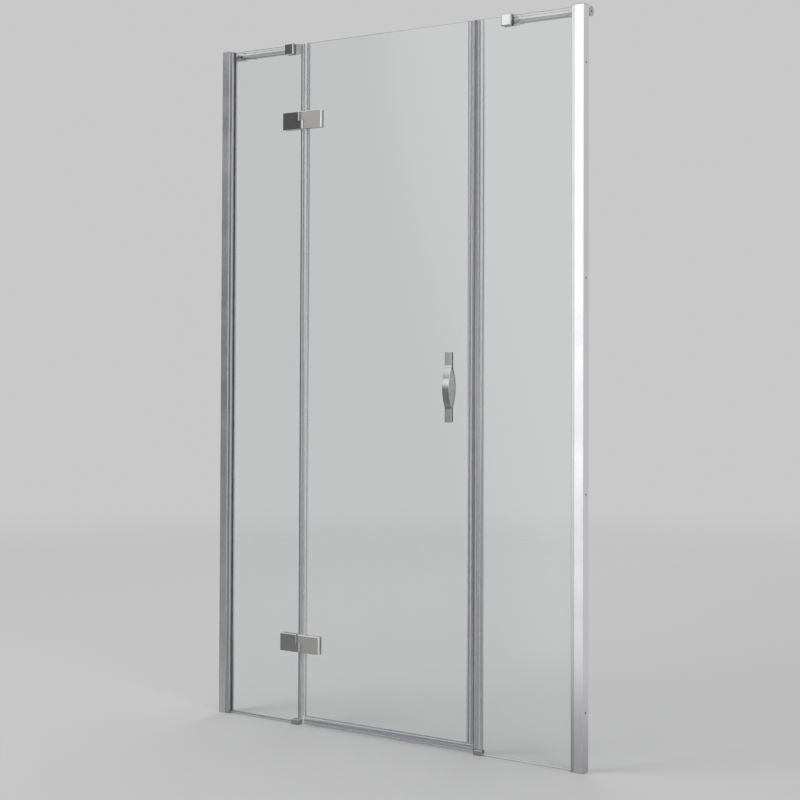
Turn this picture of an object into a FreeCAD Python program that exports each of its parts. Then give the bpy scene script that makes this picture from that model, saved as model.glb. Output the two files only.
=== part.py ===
import FreeCAD, Part
import math
import os
from FreeCAD import Vector

# Hinged shower door for an alcove: a fixed pane at each side and a glass door between them.
# Model frame: +X to the right seen from outside, +Y into the shower, +Z up, millimetres.
# While the pieces are built, x runs from the left wall, y from the glass plane and z from the
# tray. save() moves them to the object's own origin, the middle of its footprint on the tray.

# Opening, driving sizes
niche_width = 1190.0
door_height = 1950.0
left_pane_edge = 283.0
right_pane_edge = 317.0
hinge_gap = 14.0
latch_gap = 18.0

# Glass
glass_thickness = 6.0
glass_top_drop = 5.0
fixed_glass_lift = 4.0
door_glass_lift = 14.0
glass_arris = 0.5

# Wall profiles, one pair at each wall
channel_width = 25.0
channel_wall = 1.6
channel_round = 0.8
profile_depth = 30.0
profile_reveal = 11.0
profile_wall = 1.5
profile_fit = 0.4
profile_overlap = 17.0
profile_web_inset = 10.0
profile_round = 1.0
glass_seat = 2.5
cap_thickness = 3.0
cap_step = 2.0
cap_edge = 0.8
cap_plug_depth = 12.0
cap_plug_fit = 0.3
glass_profile_drop = 4.0
wall_hole_radius = 2.75
wall_hole_end = 150.0
wall_hole_inner_end = 700.0

# Glazing gasket of the wall profiles
gasket_leg = 1.4
gasket_bead_reach = 1.2
gasket_bead_height = 1.2

# Screws that lock the telescopic profiles
profile_screw_radius = 1.9
profile_screw_fit = 0.2
profile_screw_head = 3.6
profile_screw_head_height = 2.0
profile_screw_length = 6.0
profile_screw_line = 13.0
profile_screw_end = 200.0
cross_slot_width = 0.9
cross_slot_depth = 1.0

# Sill gaskets under the fixed panes
sill_leg = 1.2
sill_lip_height = 4.0
sill_gap = 0.4

# Foot clips at the free bottom corners of the fixed panes
foot_length = 26.0
foot_overrun = 8.0
foot_depth = 22.0
foot_height = 14.0
foot_pad = 1.2
foot_round = 5.0
foot_edge = 1.5
foot_screw_radius = 2.0
foot_screw_inset = 8.0
foot_screw_rise = 9.0
foot_screw_recess = 0.6

# Grub screws in general
grub_fit = 0.05
grub_socket_depth = 2.0

# Support bars from the fixed panes to the side walls
left_clamp_centre = 244.0
right_clamp_centre = 229.0
clamp_width = 30.0
clamp_front = 12.0
clamp_height = 31.0
clamp_top_drop = 1.0
clamp_roof = 1.0
clamp_edge = 2.5
clamp_pad = 1.5
clamp_pad_margin = 2.0
clamp_back_round = 9.0
bar_offset = 29.0
bar_drop = 14.0
bar_radius = 10.0
bar_wall = 1.5
bar_neck_length = 8.0
bar_neck_radius = 7.0
bar_spigot_radius = 6.0
bar_spigot_length = 16.0
bar_insert_length = 15.0
bar_fit = 0.05
boss_wall = 2.5
flange_length = 55.0
flange_rim_radius = 13.5
flange_rim_thickness = 4.0
flange_base = 6.0
flange_edge = 0.8
bar_screw_hole_radius = 2.75
ring_width = 8.0
ring_wall = 1.5
ring_edge = 0.5
left_ring_from_wall = 85.0
right_ring_from_clamp = 1.0
bar_screw_radius = 2.5
bar_screw_inset = 7.0
bar_screw_length = 5.0
clamp_screw_inset = 7.0
clamp_screw_drop = 7.0
clamp_screw_length = 10.0

# Hinges
upper_hinge_drop = 226.0
lower_hinge_rise = 230.0
hinge_height = 50.0
fixed_plate_reach = 66.0
door_plate_reach = 70.0
plate_thickness = 8.0
plate_gasket = 1.0
plate_bevel = 1.2
plate_relief = 3.0
cover_thickness = 6.0
cover_edge_inset = 1.0
gasket_inset = 1.0
knuckle_clearance = 0.5
knuckle_gap = 1.2
pin_radius = 3.0
pin_running_fit = 0.05
pin_seat_fit = 0.02
pin_end_wall = 4.5
pin_end_space = 0.5
bush_wall = 1.2
bush_length = 12.0
bush_flange = 1.0
bush_flange_radius = 6.2
hinge_screw_radius = 3.0
hinge_screw_fit = 0.05
hinge_screw_pass = 0.3
hinge_screw_head = 5.0
hinge_screw_head_height = 3.2
hinge_screw_head_fit = 0.2
hinge_screw_depth = 5.5
hinge_screw_space = 0.5
hinge_screw_spread = 24.0
hinge_screw_line = 35.0
hinge_glass_hole = 6.0

# Clear seals on the glass edges
seal_wall = 1.2
seal_bulb_wall = 1.0
seal_tip_gap = 0.6
seal_tip_half = 2.4
hinge_seal_leg = 15.0
seal_hinge_gap = 1.0
seal_foot_gap = 1.5
seal_drip_gap = 0.5
door_seal_leg = 13.5
fixed_seal_leg = 17.5
magnet_gap = 0.6
magnet_half_width = 5.0
magnet_fit = 0.3
drip_leg = 13.0
drip_clearance = 4.0
drip_tip_half = 2.5
drip_hinge_inset = 7.0
drip_latch_reach = 7.0
fin_reach = 5.0
fin_drop = 7.0
fin_wall = 1.0

# Handles, one bow on each face of the door
handle_inset = 72.0
handle_rise = 966.0
handle_length = 188.0
handle_width = 21.0
handle_bar = 3.0
handle_projection = 17.0
handle_foot = 40.0
handle_bend = 20.0
handle_edge = 0.8
handle_bolt_inset = 20.0
handle_bolt_radius = 2.5
handle_bolt_fit = 0.05
handle_bolt_depth = 2.0
handle_bolt_space = 0.3
handle_pad_thickness = 0.5
handle_pad_margin = 1.0
handle_pad_fit = 0.2
handle_glass_hole = 4.0

# How far a cutting tool runs past the piece it cuts, and how near two places count as the same
overrun = 5.0
same_place = 0.001

# Places worked out from the sizes above
half_glass = glass_thickness / 2
half_profile = profile_depth / 2
glass_top = door_height - glass_top_drop
channel_top = door_height - cap_thickness
glass_profile_top = door_height - glass_profile_drop
profile_nose = channel_width + profile_reveal
sleeve_start = channel_width - profile_overlap
web_start = sleeve_start + profile_web_inset
glass_edge_in_profile = web_start + profile_wall + glass_seat
half_inner = half_profile - channel_wall - profile_fit
right_pane_start = niche_width - right_pane_edge
door_left = left_pane_edge + hinge_gap
door_right = right_pane_start - latch_gap
plate_back = half_glass + plate_gasket
plate_face = plate_back + plate_thickness
knuckle_radius = hinge_gap / 2 - knuckle_clearance
axis_x = left_pane_edge + hinge_gap / 2
axis_y = knuckle_radius - plate_face
relief_edge = knuckle_radius + plate_relief
hinge_levels = {"upper": door_height - upper_hinge_drop, "lower": lower_hinge_rise}
drip_top = door_glass_lift + drip_leg
seal_half = half_glass + seal_wall
housing_depth = (latch_gap - magnet_gap) / 2 - seal_wall
bar_level = door_height - bar_drop
boss_radius = bar_radius + boss_wall
clamp_top = door_height - clamp_top_drop
handle_face = half_glass + handle_projection
handle_seat = half_glass + handle_pad_thickness
outer_reach = max(handle_face, plate_face)
inner_reach = max(bar_offset + flange_rim_radius, handle_face)
glass_plane = (outer_reach - inner_reach) / 2

os.makedirs("parts", exist_ok=True)


def box(x0, x1, y0, y1, z0, z1):
    """Block between two opposite corners."""
    return Part.makeBox(x1 - x0, y1 - y0, z1 - z0, Vector(x0, y0, z0))


def rod(radius, start, end):
    """Round bar between two points."""
    run = end - start
    return Part.makeCylinder(radius, run.Length, start, run)


def prism(corners, run):
    """Flat outline drawn along a straight run."""
    return Part.Face(Part.makePolygon(corners + corners[:1])).extrude(run)


def upright(outline, z0, z1):
    """Extrusion that stands up, from an outline in plan."""
    return prism([Vector(x, y, z0) for x, y in outline], Vector(0, 0, z1 - z0))


def across(outline, x0, x1):
    """Extrusion that lies across the opening, from an outline seen from its end."""
    return prism([Vector(x0, y, z) for y, z in outline], Vector(x1 - x0, 0, 0))


def twin(shape):
    """The same piece on the other face of the glass."""
    return shape.mirror(Vector(0, 0, 0), Vector(0, 1, 0))


def edges_at(shape, **places):
    """Straight edges that lie at the given places, such as y=3 and z=0."""
    found = []
    for edge in shape.Edges:
        ends = [v.Point for v in edge.Vertexes]
        if all(abs(getattr(p, axis) - at) < same_place for p in ends for axis, at in places.items()):
            found.append(edge)
    return found


def level_edges(shape, z):
    """Edges, straight or round, that lie flat at one height."""
    spans = [(e, e.BoundBox) for e in shape.Edges]
    return [e for e, span in spans if abs(span.ZMin - z) < same_place and abs(span.ZMax - z) < same_place]


def side_edges(shape, x, front):
    """Edges, straight or round, in one plane across the opening, no nearer the glass than front."""
    spans = [(e, e.BoundBox) for e in shape.Edges]
    level = [e for e, span in spans if abs(span.XMin - x) < same_place and abs(span.XMax - x) < same_place]
    return [e for e in level if e.BoundBox.YMax < same_place - front]


def round_edges(shape, x):
    """Round edges of a bar that lies along the opening, at one place."""
    spans = [(e, e.BoundBox) for e in shape.Edges if e.Curve.TypeId == "Part::GeomCircle"]
    return [e for e, span in spans if abs(span.XMin - x) < same_place and abs(span.XMax - x) < same_place]


def joined(first, *others):
    """One solid out of blocks that touch or overlap, with no seams left in its faces."""
    return first.fuse(list(others)).removeSplitter()


def hex_key(across_corners, start, run):
    """Six-sided tool that leaves a key socket."""
    length = run.Length
    corners = []
    for turn in range(6):
        angle = math.radians(turn * 60)
        corners.append(Vector(math.cos(angle), math.sin(angle), 0) * (across_corners / 2))
    key = prism(corners, Vector(0, 0, length))
    key.Placement = FreeCAD.Placement(start, FreeCAD.Rotation(Vector(0, 0, 1), run))
    return key


def grub_screw(radius, start, end):
    """Headless screw with a key socket in the end that the run starts from."""
    socket = (end - start).normalize() * grub_socket_depth
    return rod(radius, start, end).cut(hex_key(radius, start, socket))


def save(node, *shapes):
    """Write one node, as one solid or as a group of separate solids."""
    solids = [solid for shape in shapes for solid in shape.Solids]
    whole = solids[0].copy() if len(solids) == 1 else Part.makeCompound(solids)
    whole.translate(Vector(-niche_width / 2, glass_plane, 0))
    whole.exportStep("parts/" + node + ".step")


def at_wall(side, shape):
    """Take a piece that is measured from its own wall to its side of the opening."""
    if side == "left":
        return shape
    return shape.mirror(Vector(niche_width / 2, 0, 0), Vector(1, 0, 0))


def pane(x0, x1, z0):
    """Sheet of glass with its sharp edges taken off."""
    sheet = box(x0, x1, -half_glass, half_glass, z0, glass_top)
    rim = edges_at(sheet, y=-half_glass) + edges_at(sheet, y=half_glass)
    return sheet.makeChamfer(glass_arris, rim)


def glass_hole(radius, x, z):
    """Tool for a round hole through a pane."""
    return rod(radius, Vector(x, -overrun - half_glass, z), Vector(x, overrun + half_glass, z))


# Wall profiles

def wall_hole_levels():
    """Heights of the wall screws, the outer pair and then the inner pair."""
    return (wall_hole_end, door_height - wall_hole_end,
            wall_hole_inner_end, door_height - wall_hole_inner_end)


def profile_screw_levels():
    """Heights of the screws that lock the telescopic profiles."""
    return (profile_screw_end, door_height / 2, door_height - profile_screw_end)


def wall_channel():
    """Outer U section that is screwed to the wall, open towards the glass."""
    body = box(0, channel_width, -half_profile, half_profile, 0, channel_top)
    corners = edges_at(body, x=0, y=-half_profile) + edges_at(body, x=0, y=half_profile)
    body = body.makeFillet(channel_round, corners)
    inside = half_profile - channel_wall
    body = body.cut(box(channel_wall, channel_width + overrun, -inside, inside, -overrun, door_height))
    for z in wall_hole_levels():
        body = body.cut(rod(wall_hole_radius, Vector(-overrun, 0, z), Vector(channel_wall + overrun, 0, z)))
    hole = profile_screw_radius + profile_screw_fit
    for z in profile_screw_levels():
        seat = Vector(profile_screw_line, inside - overrun, z)
        body = body.cut(rod(hole, seat, Vector(profile_screw_line, half_profile + overrun, z)))
    return body


def glass_profile():
    """Inner section that slides in the channel and holds the glass in its nose."""
    inside = half_inner - profile_wall
    slot = half_glass + gasket_leg
    blocks = []
    for y0, y1 in ((-half_inner, -inside), (inside, half_inner)):
        blocks.append(box(sleeve_start, profile_nose, y0, y1, 0, glass_profile_top))
    blocks.append(box(web_start, web_start + profile_wall, -inside, inside, 0, glass_profile_top))
    for y0, y1 in ((-inside, -slot), (slot, inside)):
        blocks.append(box(profile_nose - profile_wall, profile_nose, y0, y1, 0, glass_profile_top))
    body = joined(*blocks)
    corners = edges_at(body, x=profile_nose, y=-half_inner) + edges_at(body, x=profile_nose, y=half_inner)
    body = body.makeFillet(profile_round, corners)
    hole = profile_screw_radius + profile_screw_fit
    for z in profile_screw_levels():
        seat = Vector(profile_screw_line, inside - overrun, z)
        body = body.cut(rod(hole, seat, Vector(profile_screw_line, half_inner + overrun, z)))
    return body


def glazing_gasket():
    """Rubber U round the glass edge, with a bead that laps over the profile's nose."""
    slot = half_glass + gasket_leg
    nose = profile_nose + gasket_bead_reach
    seat = web_start + profile_wall
    body = box(seat, nose, -slot, slot, fixed_glass_lift, glass_top)
    lap = slot + gasket_bead_height
    for y0, y1 in ((-lap, -slot), (slot, lap)):
        body = body.fuse(box(profile_nose, nose, y0, y1, fixed_glass_lift, glass_top))
    body = body.cut(box(glass_edge_in_profile, nose + overrun, -half_glass, half_glass, 0, door_height))
    return body.removeSplitter()


def profile_cap():
    """End cap: a plate over the channel, a lower step over the glass profile and a plug inside."""
    plate = box(0, channel_width, -half_profile, half_profile, channel_top, door_height)
    step = box(channel_width, profile_nose, -half_inner, half_inner, glass_profile_top,
               glass_profile_top + cap_step)
    half_plug = half_profile - channel_wall - cap_plug_fit
    plug = box(channel_wall + cap_plug_fit, sleeve_start - cap_plug_fit, -half_plug, half_plug,
               channel_top - cap_plug_depth, channel_top)
    body = joined(plate, step, plug)
    rim = edges_at(body, z=door_height) + edges_at(body, z=glass_profile_top + cap_step, x=profile_nose)
    return body.makeChamfer(cap_edge, rim)


def profile_screw(z):
    """Pan head screw with a cross slot, from the shower side."""
    seat = Vector(profile_screw_line, half_profile, z)
    face = seat + Vector(0, profile_screw_head_height, 0)
    body = rod(profile_screw_radius, seat - Vector(0, profile_screw_length, 0), seat)
    body = joined(body, rod(profile_screw_head, seat, face))
    half_slot = cross_slot_width / 2
    arm = profile_screw_radius
    for dx, dz in ((arm, half_slot), (half_slot, arm)):
        body = body.cut(box(face.x - dx, face.x + dx, face.y - cross_slot_depth, face.y + overrun,
                            z - dz, z + dz))
    return body


# Feet and sill gaskets

def foot_start(pane_edge):
    """Where a foot clip begins, measured from the wall on its side."""
    return pane_edge + foot_overrun - foot_length


def foot_clip(pane_edge):
    """Block that grips the bottom corner of a fixed pane, rounded at its free end."""
    x0 = foot_start(pane_edge)
    x1 = x0 + foot_length
    half = foot_depth / 2
    body = box(x0, x1, -half, half, 0, foot_height)
    body = body.makeFillet(foot_round, edges_at(body, x=x1, y=-half) + edges_at(body, x=x1, y=half))
    body = body.makeFillet(foot_edge, level_edges(body, foot_height))
    slot = half_glass + foot_pad
    body = body.cut(box(x0 - overrun, pane_edge + foot_pad, -slot, slot,
                        fixed_glass_lift - foot_pad, foot_height + overrun))
    inner_end = Vector(x0 + foot_screw_inset, half_glass, foot_screw_rise)
    outer_end = Vector(x0 + foot_screw_inset, half + overrun, foot_screw_rise)
    return body.cut(rod(foot_screw_radius + grub_fit, inner_end, outer_end))


def foot_liner(pane_edge):
    """Soft liner between a foot clip and the glass."""
    slot = half_glass + foot_pad
    body = box(foot_start(pane_edge), pane_edge + foot_pad, -slot, slot,
               fixed_glass_lift - foot_pad, foot_height)
    return body.cut(box(0, pane_edge, -half_glass, half_glass, fixed_glass_lift, foot_height + overrun))


def foot_screw(pane_edge):
    """Grub screw that presses the liner against the glass."""
    x = foot_start(pane_edge) + foot_screw_inset
    face = foot_depth / 2 - foot_screw_recess
    return grub_screw(foot_screw_radius, Vector(x, face, foot_screw_rise),
                      Vector(x, half_glass + foot_pad, foot_screw_rise))


def sill_gasket(pane_edge):
    """Strip under a fixed pane, with a lip up each face of the glass."""
    x0 = profile_nose + gasket_bead_reach + sill_gap
    x1 = foot_start(pane_edge) - sill_gap
    half = half_glass + sill_leg
    body = box(x0, x1, -half, half, 0, fixed_glass_lift + sill_lip_height)
    return body.cut(box(0, niche_width, -half_glass, half_glass, fixed_glass_lift, door_height))


# Support bars

def bar_clamp(centre):
    """Glass clamp that sits over the pane's top edge and carries the bar on its shower side."""
    x0 = centre - clamp_width / 2
    x1 = centre + clamp_width / 2
    low = clamp_top - clamp_height
    back = bar_offset + boss_radius
    boss_low = bar_level - boss_radius
    boss_high = bar_level + boss_radius
    front_block = box(x0, x1, -clamp_front, clamp_front, low, clamp_top)
    front_block = front_block.makeFillet(clamp_edge, edges_at(front_block, y=-clamp_front))
    boss = box(x0, x1, clamp_front - overrun, back, boss_low, boss_high)
    rounded = edges_at(boss, y=back, z=boss_low) + edges_at(boss, y=back, z=boss_high)
    body = joined(front_block, boss.makeFillet(clamp_back_round, rounded))
    slot = half_glass + clamp_pad
    body = body.cut(box(x0 - overrun, x1 + overrun, -slot, slot, low - overrun, glass_top + clamp_roof))
    axis = Vector(x0, bar_offset, bar_level)
    bore_end = axis + Vector(bar_spigot_length + bar_fit, 0, 0)
    body = body.cut(rod(bar_spigot_radius + bar_fit, axis - Vector(overrun, 0, 0), bore_end))
    hole = bar_screw_radius + grub_fit
    x = x0 + bar_screw_inset
    body = body.cut(rod(hole, Vector(x, bar_offset, low - overrun), Vector(x, bar_offset, bar_level)))
    x = x1 - clamp_screw_inset
    z = bar_level - clamp_screw_drop
    return body.cut(rod(hole, Vector(x, half_glass, z), Vector(x, back + overrun, z)))


def clamp_pads(centre):
    """Rubber pads between a bar clamp and the two faces of the glass."""
    reach = clamp_width / 2 - clamp_pad_margin
    low = clamp_top - clamp_height + clamp_pad_margin
    pad = box(centre - reach, centre + reach, half_glass, half_glass + clamp_pad, low, glass_top)
    return [pad, twin(pad)]


def bar_screws(centre):
    """Two grub screws of a bar clamp: one holds the bar's spigot, one grips the glass."""
    x0 = centre - clamp_width / 2
    x = x0 + bar_screw_inset
    top = bar_level - bar_spigot_radius
    lower = grub_screw(bar_screw_radius, Vector(x, bar_offset, top - bar_screw_length),
                       Vector(x, bar_offset, top))
    x = x0 + clamp_width - clamp_screw_inset
    z = bar_level - clamp_screw_drop
    slot = half_glass + clamp_pad
    grip = grub_screw(bar_screw_radius, Vector(x, slot + clamp_screw_length, z), Vector(x, slot, z))
    return [lower, grip]


def bar_insert(centre):
    """Turned piece that joins a bar to its clamp: spigot, thin neck and tube insert."""
    face = Vector(centre - clamp_width / 2, bar_offset, bar_level)
    end = face - Vector(bar_neck_length, 0, 0)
    spigot = rod(bar_spigot_radius, face, face + Vector(bar_spigot_length, 0, 0))
    neck = rod(bar_neck_radius, end, face)
    insert = rod(bar_radius - bar_wall - bar_fit, end - Vector(bar_insert_length, 0, 0), end)
    return joined(neck, spigot, insert)


def bar_end(centre):
    """Where a bar's tube stops beside its clamp, measured from the wall."""
    return centre - clamp_width / 2 - bar_neck_length


def support_bar(centre):
    """Tube from the wall flange to the clamp's insert."""
    start = Vector(flange_base, bar_offset, bar_level)
    end = Vector(bar_end(centre), bar_offset, bar_level)
    return rod(bar_radius, start, end).cut(rod(bar_radius - bar_wall, start, end))


def bar_flange():
    """Wall socket of a bar, screwed to the wall through its base."""
    wall = Vector(0, bar_offset, bar_level)
    socket = rod(boss_radius, wall, wall + Vector(flange_length, 0, 0))
    socket = socket.makeChamfer(flange_edge, round_edges(socket, flange_length))
    rim = rod(flange_rim_radius, wall, wall + Vector(flange_rim_thickness, 0, 0))
    rim = rim.makeChamfer(flange_edge, round_edges(rim, flange_rim_thickness))
    body = joined(socket, rim)
    body = body.cut(rod(bar_radius + bar_fit, wall + Vector(flange_base, 0, 0),
                        wall + Vector(flange_length + overrun, 0, 0)))
    return body.cut(rod(bar_screw_hole_radius, wall - Vector(overrun, 0, 0),
                        wall + Vector(flange_base + overrun, 0, 0)))


def bar_ring(x0):
    """Collar round the bar that hides its joint."""
    start = Vector(x0, bar_offset, bar_level)
    end = start + Vector(ring_width, 0, 0)
    body = rod(bar_radius + ring_wall, start, end)
    body = body.makeChamfer(ring_edge, round_edges(body, x0) + round_edges(body, x0 + ring_width))
    return body.cut(rod(bar_radius + bar_fit, start - Vector(overrun, 0, 0), end + Vector(overrun, 0, 0)))


# Hinges

def hinge_screw_levels(z):
    """Heights of the two screws in each leaf of a hinge."""
    return (z - hinge_screw_spread / 2, z + hinge_screw_spread / 2)


def hinge_plate(z, knuckle_up):
    """Outer plate of a hinge with one half of the knuckle, built for the door side."""
    low = z - hinge_height / 2
    high = z + hinge_height / 2
    reach = door_plate_reach if knuckle_up else fixed_plate_reach
    z0, z1 = (z + knuckle_gap / 2, high) if knuckle_up else (low, z - knuckle_gap / 2)
    leaf = box(relief_edge, reach, -plate_face, -plate_back, low, high)
    arm = box(0, relief_edge, -plate_face, -plate_back, z0, z1)
    body = joined(leaf, arm)
    rim = edges_at(body, y=-plate_face, x=reach) + edges_at(body, y=-plate_face, z=low)
    rim += edges_at(body, y=-plate_face, z=high) + edges_at(body, y=-plate_face, x=relief_edge)
    body = body.makeChamfer(plate_bevel, rim)
    knuckle = rod(knuckle_radius, Vector(0, axis_y, z0), Vector(0, axis_y, z1))
    outer_end = high if knuckle_up else low
    knuckle = knuckle.makeChamfer(plate_bevel, level_edges(knuckle, outer_end))
    body = joined(body, knuckle)
    for level in hinge_screw_levels(z):
        seat = Vector(hinge_screw_line, -plate_back + overrun, level)
        tip = Vector(hinge_screw_line, -plate_back - hinge_screw_depth - hinge_screw_space, level)
        body = body.cut(rod(hinge_screw_radius + hinge_screw_fit, seat, tip))
    return body


def pin_depth():
    """How far the pin goes into each half of the knuckle."""
    return (hinge_height - knuckle_gap) / 2 - pin_end_wall


def door_plate(z):
    """Plate on the door, with the upper half of the knuckle and the pin's seat."""
    start = z + knuckle_gap / 2
    bore = rod(pin_radius + pin_seat_fit, Vector(0, axis_y, start - overrun),
               Vector(0, axis_y, start + pin_depth() + pin_end_space))
    return hinge_plate(z, True).cut(bore)


def fixed_plate(z):
    """Plate on the fixed pane, with the lower half of the knuckle and the bush's seat."""
    start = z - knuckle_gap / 2
    bush = pin_radius + pin_running_fit + bush_wall + pin_seat_fit
    seat = rod(bush, Vector(0, axis_y, start + overrun), Vector(0, axis_y, start - bush_length))
    bore = rod(pin_radius + pin_running_fit, Vector(0, axis_y, start),
               Vector(0, axis_y, start - pin_depth() - pin_end_space))
    body = hinge_plate(z, False).cut(seat).cut(bore)
    return body.mirror(Vector(0, 0, 0), Vector(1, 0, 0))


def hinge_pin(z):
    """Pin that is fixed in the door's half of the knuckle and turns in the bush."""
    half = knuckle_gap / 2 + pin_depth()
    return rod(pin_radius, Vector(0, axis_y, z - half), Vector(0, axis_y, z + half))


def hinge_bush(z):
    """Flanged bush in the fixed half of the knuckle; its flange parts the two halves."""
    top = z - knuckle_gap / 2
    outer = pin_radius + pin_running_fit + bush_wall
    sleeve = rod(outer, Vector(0, axis_y, top - bush_length), Vector(0, axis_y, top))
    flange = rod(bush_flange_radius, Vector(0, axis_y, top), Vector(0, axis_y, top + bush_flange))
    bore = rod(pin_radius + pin_running_fit, Vector(0, axis_y, top - bush_length - overrun),
               Vector(0, axis_y, top + bush_flange + overrun))
    return joined(sleeve, flange).cut(bore)


def hinge_cover(z, reach):
    """Inner plate of a hinge leaf, with its two screw seats."""
    low = z - hinge_height / 2
    high = z + hinge_height / 2
    near = hinge_gap / 2 + cover_edge_inset
    face = plate_back + cover_thickness
    body = box(near, reach, plate_back, face, low, high)
    body = body.makeChamfer(plate_bevel, edges_at(body, y=face))
    for level in hinge_screw_levels(z):
        seat = Vector(hinge_screw_line, face - hinge_screw_head_height, level)
        back = Vector(0, overrun + cover_thickness, 0)
        body = body.cut(rod(hinge_screw_radius + hinge_screw_pass, seat - back, seat + back))
        body = body.cut(rod(hinge_screw_head + hinge_screw_head_fit, seat, seat + back))
    return body


def leaf_gaskets(z, reach):
    """Thin gaskets between a hinge leaf and the two faces of the glass."""
    near = hinge_gap / 2 + cover_edge_inset + gasket_inset
    half = hinge_height / 2 - gasket_inset
    body = box(near, reach - gasket_inset, half_glass, plate_back, z - half, z + half)
    for level in hinge_screw_levels(z):
        body = body.cut(rod(hinge_glass_hole, Vector(hinge_screw_line, -overrun, level),
                            Vector(hinge_screw_line, plate_back + overrun, level)))
    return [body, twin(body)]


def hinge_screw(z):
    """Socket screw from the inner plate through the glass into the outer plate."""
    face = plate_back + cover_thickness
    seat = Vector(hinge_screw_line, face - hinge_screw_head_height, z)
    tip = Vector(hinge_screw_line, -plate_back - hinge_screw_depth, z)
    head = rod(hinge_screw_head, seat, Vector(hinge_screw_line, face, z))
    body = joined(head, rod(hinge_screw_radius, tip, seat))
    return body.cut(hex_key(hinge_screw_head, Vector(hinge_screw_line, face, z),
                            Vector(0, -grub_socket_depth, 0)))


def on_door(shape):
    """Take a piece that is measured from the hinge axis to the door."""
    moved = shape.copy()
    moved.translate(Vector(axis_x, 0, 0))
    return moved


def on_fixed_pane(shape):
    """Take a piece that is measured from the hinge axis to the left fixed pane."""
    return on_door(shape.mirror(Vector(0, 0, 0), Vector(1, 0, 0)))


# Seals

def edge_grip(edge, leg, z0, z1):
    """Clear U that pushes over an upright glass edge; leg is negative for a pane that lies left."""
    x0, x1 = sorted((edge + leg, edge))
    wall = -seal_wall if leg > 0 else seal_wall
    w0, w1 = sorted((edge, edge + wall))
    legs = [box(x0, x1, half_glass, seal_half, z0, z1), box(x0, x1, -seal_half, -half_glass, z0, z1)]
    return joined(box(w0, w1, -seal_half, seal_half, z0, z1), *legs)


def hinge_side_seal():
    """Door seal that fills the hinge gap, in three lengths between the hinges."""
    root = door_left - seal_wall
    tip = left_pane_edge + seal_tip_gap
    low = foot_height + seal_foot_gap
    outline = ((root, -seal_half), (tip, -seal_tip_half), (tip, seal_tip_half), (root, seal_half))
    inner_root = seal_half - seal_bulb_wall
    inner_tip = seal_tip_half - seal_bulb_wall
    hollow = ((root, -inner_root), (tip + seal_bulb_wall, -inner_tip),
              (tip + seal_bulb_wall, inner_tip), (root, inner_root))
    body = edge_grip(door_left, hinge_seal_leg, drip_top + seal_drip_gap, glass_top)
    body = body.fuse(box(root, door_left, -seal_half, seal_half, low, drip_top + seal_drip_gap))
    body = body.fuse(upright(outline, low, glass_top)).removeSplitter()
    body = body.cut(upright(hollow, low - overrun, glass_top + overrun))
    half = hinge_height / 2 + seal_hinge_gap
    for z in hinge_levels.values():
        body = body.cut(box(0, niche_width, -profile_depth, profile_depth, z - half, z + half))
    return body


def magnetic_seal(edge, leg, z0):
    """Clear seal with a housing for a magnet, on an upright glass edge."""
    grip = edge_grip(edge, leg, z0, glass_top)
    way = -1 if leg > 0 else 1
    root = edge + way * seal_wall
    face = root + way * housing_depth
    x0, x1 = sorted((root, face))
    housing = box(x0, x1, -magnet_half_width, magnet_half_width, z0, glass_top)
    inside = magnet_half_width - seal_bulb_wall
    hollow = box(x0 + seal_bulb_wall, x1 - seal_bulb_wall, -inside, inside,
                 z0 - overrun, glass_top + overrun)
    return joined(grip, housing).cut(hollow)


def magnet_strip(edge, leg, z0):
    """Flexible magnet inside a magnetic seal's housing."""
    way = -1 if leg > 0 else 1
    margin = seal_bulb_wall + magnet_fit
    ends = (edge + way * (seal_wall + margin), edge + way * (seal_wall + housing_depth - margin))
    half = magnet_half_width - margin
    return box(min(ends), max(ends), -half, half, z0, glass_top)


def drip_seal():
    """Seal along the door's bottom edge: U on the glass, soft bulb below, fin towards the shower."""
    x0 = door_left + drip_hinge_inset
    x1 = door_right + drip_latch_reach
    root = door_glass_lift - seal_wall
    body = box(x0, x1, -seal_half, seal_half, root, drip_top)
    body = body.cut(box(0, niche_width, -half_glass, half_glass, door_glass_lift, drip_top + overrun))
    bulb = ((-seal_half, root), (-drip_tip_half, drip_clearance), (drip_tip_half, drip_clearance),
            (seal_half, root))
    inner = drip_tip_half - seal_bulb_wall
    hollow = ((seal_bulb_wall - seal_half, root), (-inner, drip_clearance + seal_bulb_wall),
              (inner, drip_clearance + seal_bulb_wall), (seal_half - seal_bulb_wall, root))
    fin = ((seal_half, door_glass_lift), (seal_half + fin_reach, door_glass_lift - fin_drop),
           (seal_half + fin_reach, door_glass_lift - fin_drop - fin_wall), (seal_half, root))
    body = joined(body, across(bulb, x0, x1), across(fin, x0, x1))
    return body.cut(across(hollow, x0 - overrun, x1 + overrun))


# Handles

def handle_bolt_levels():
    """Heights of the two handle bolts."""
    reach = handle_length / 2 - handle_bolt_inset
    return (handle_rise - reach, handle_rise + reach)


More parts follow.
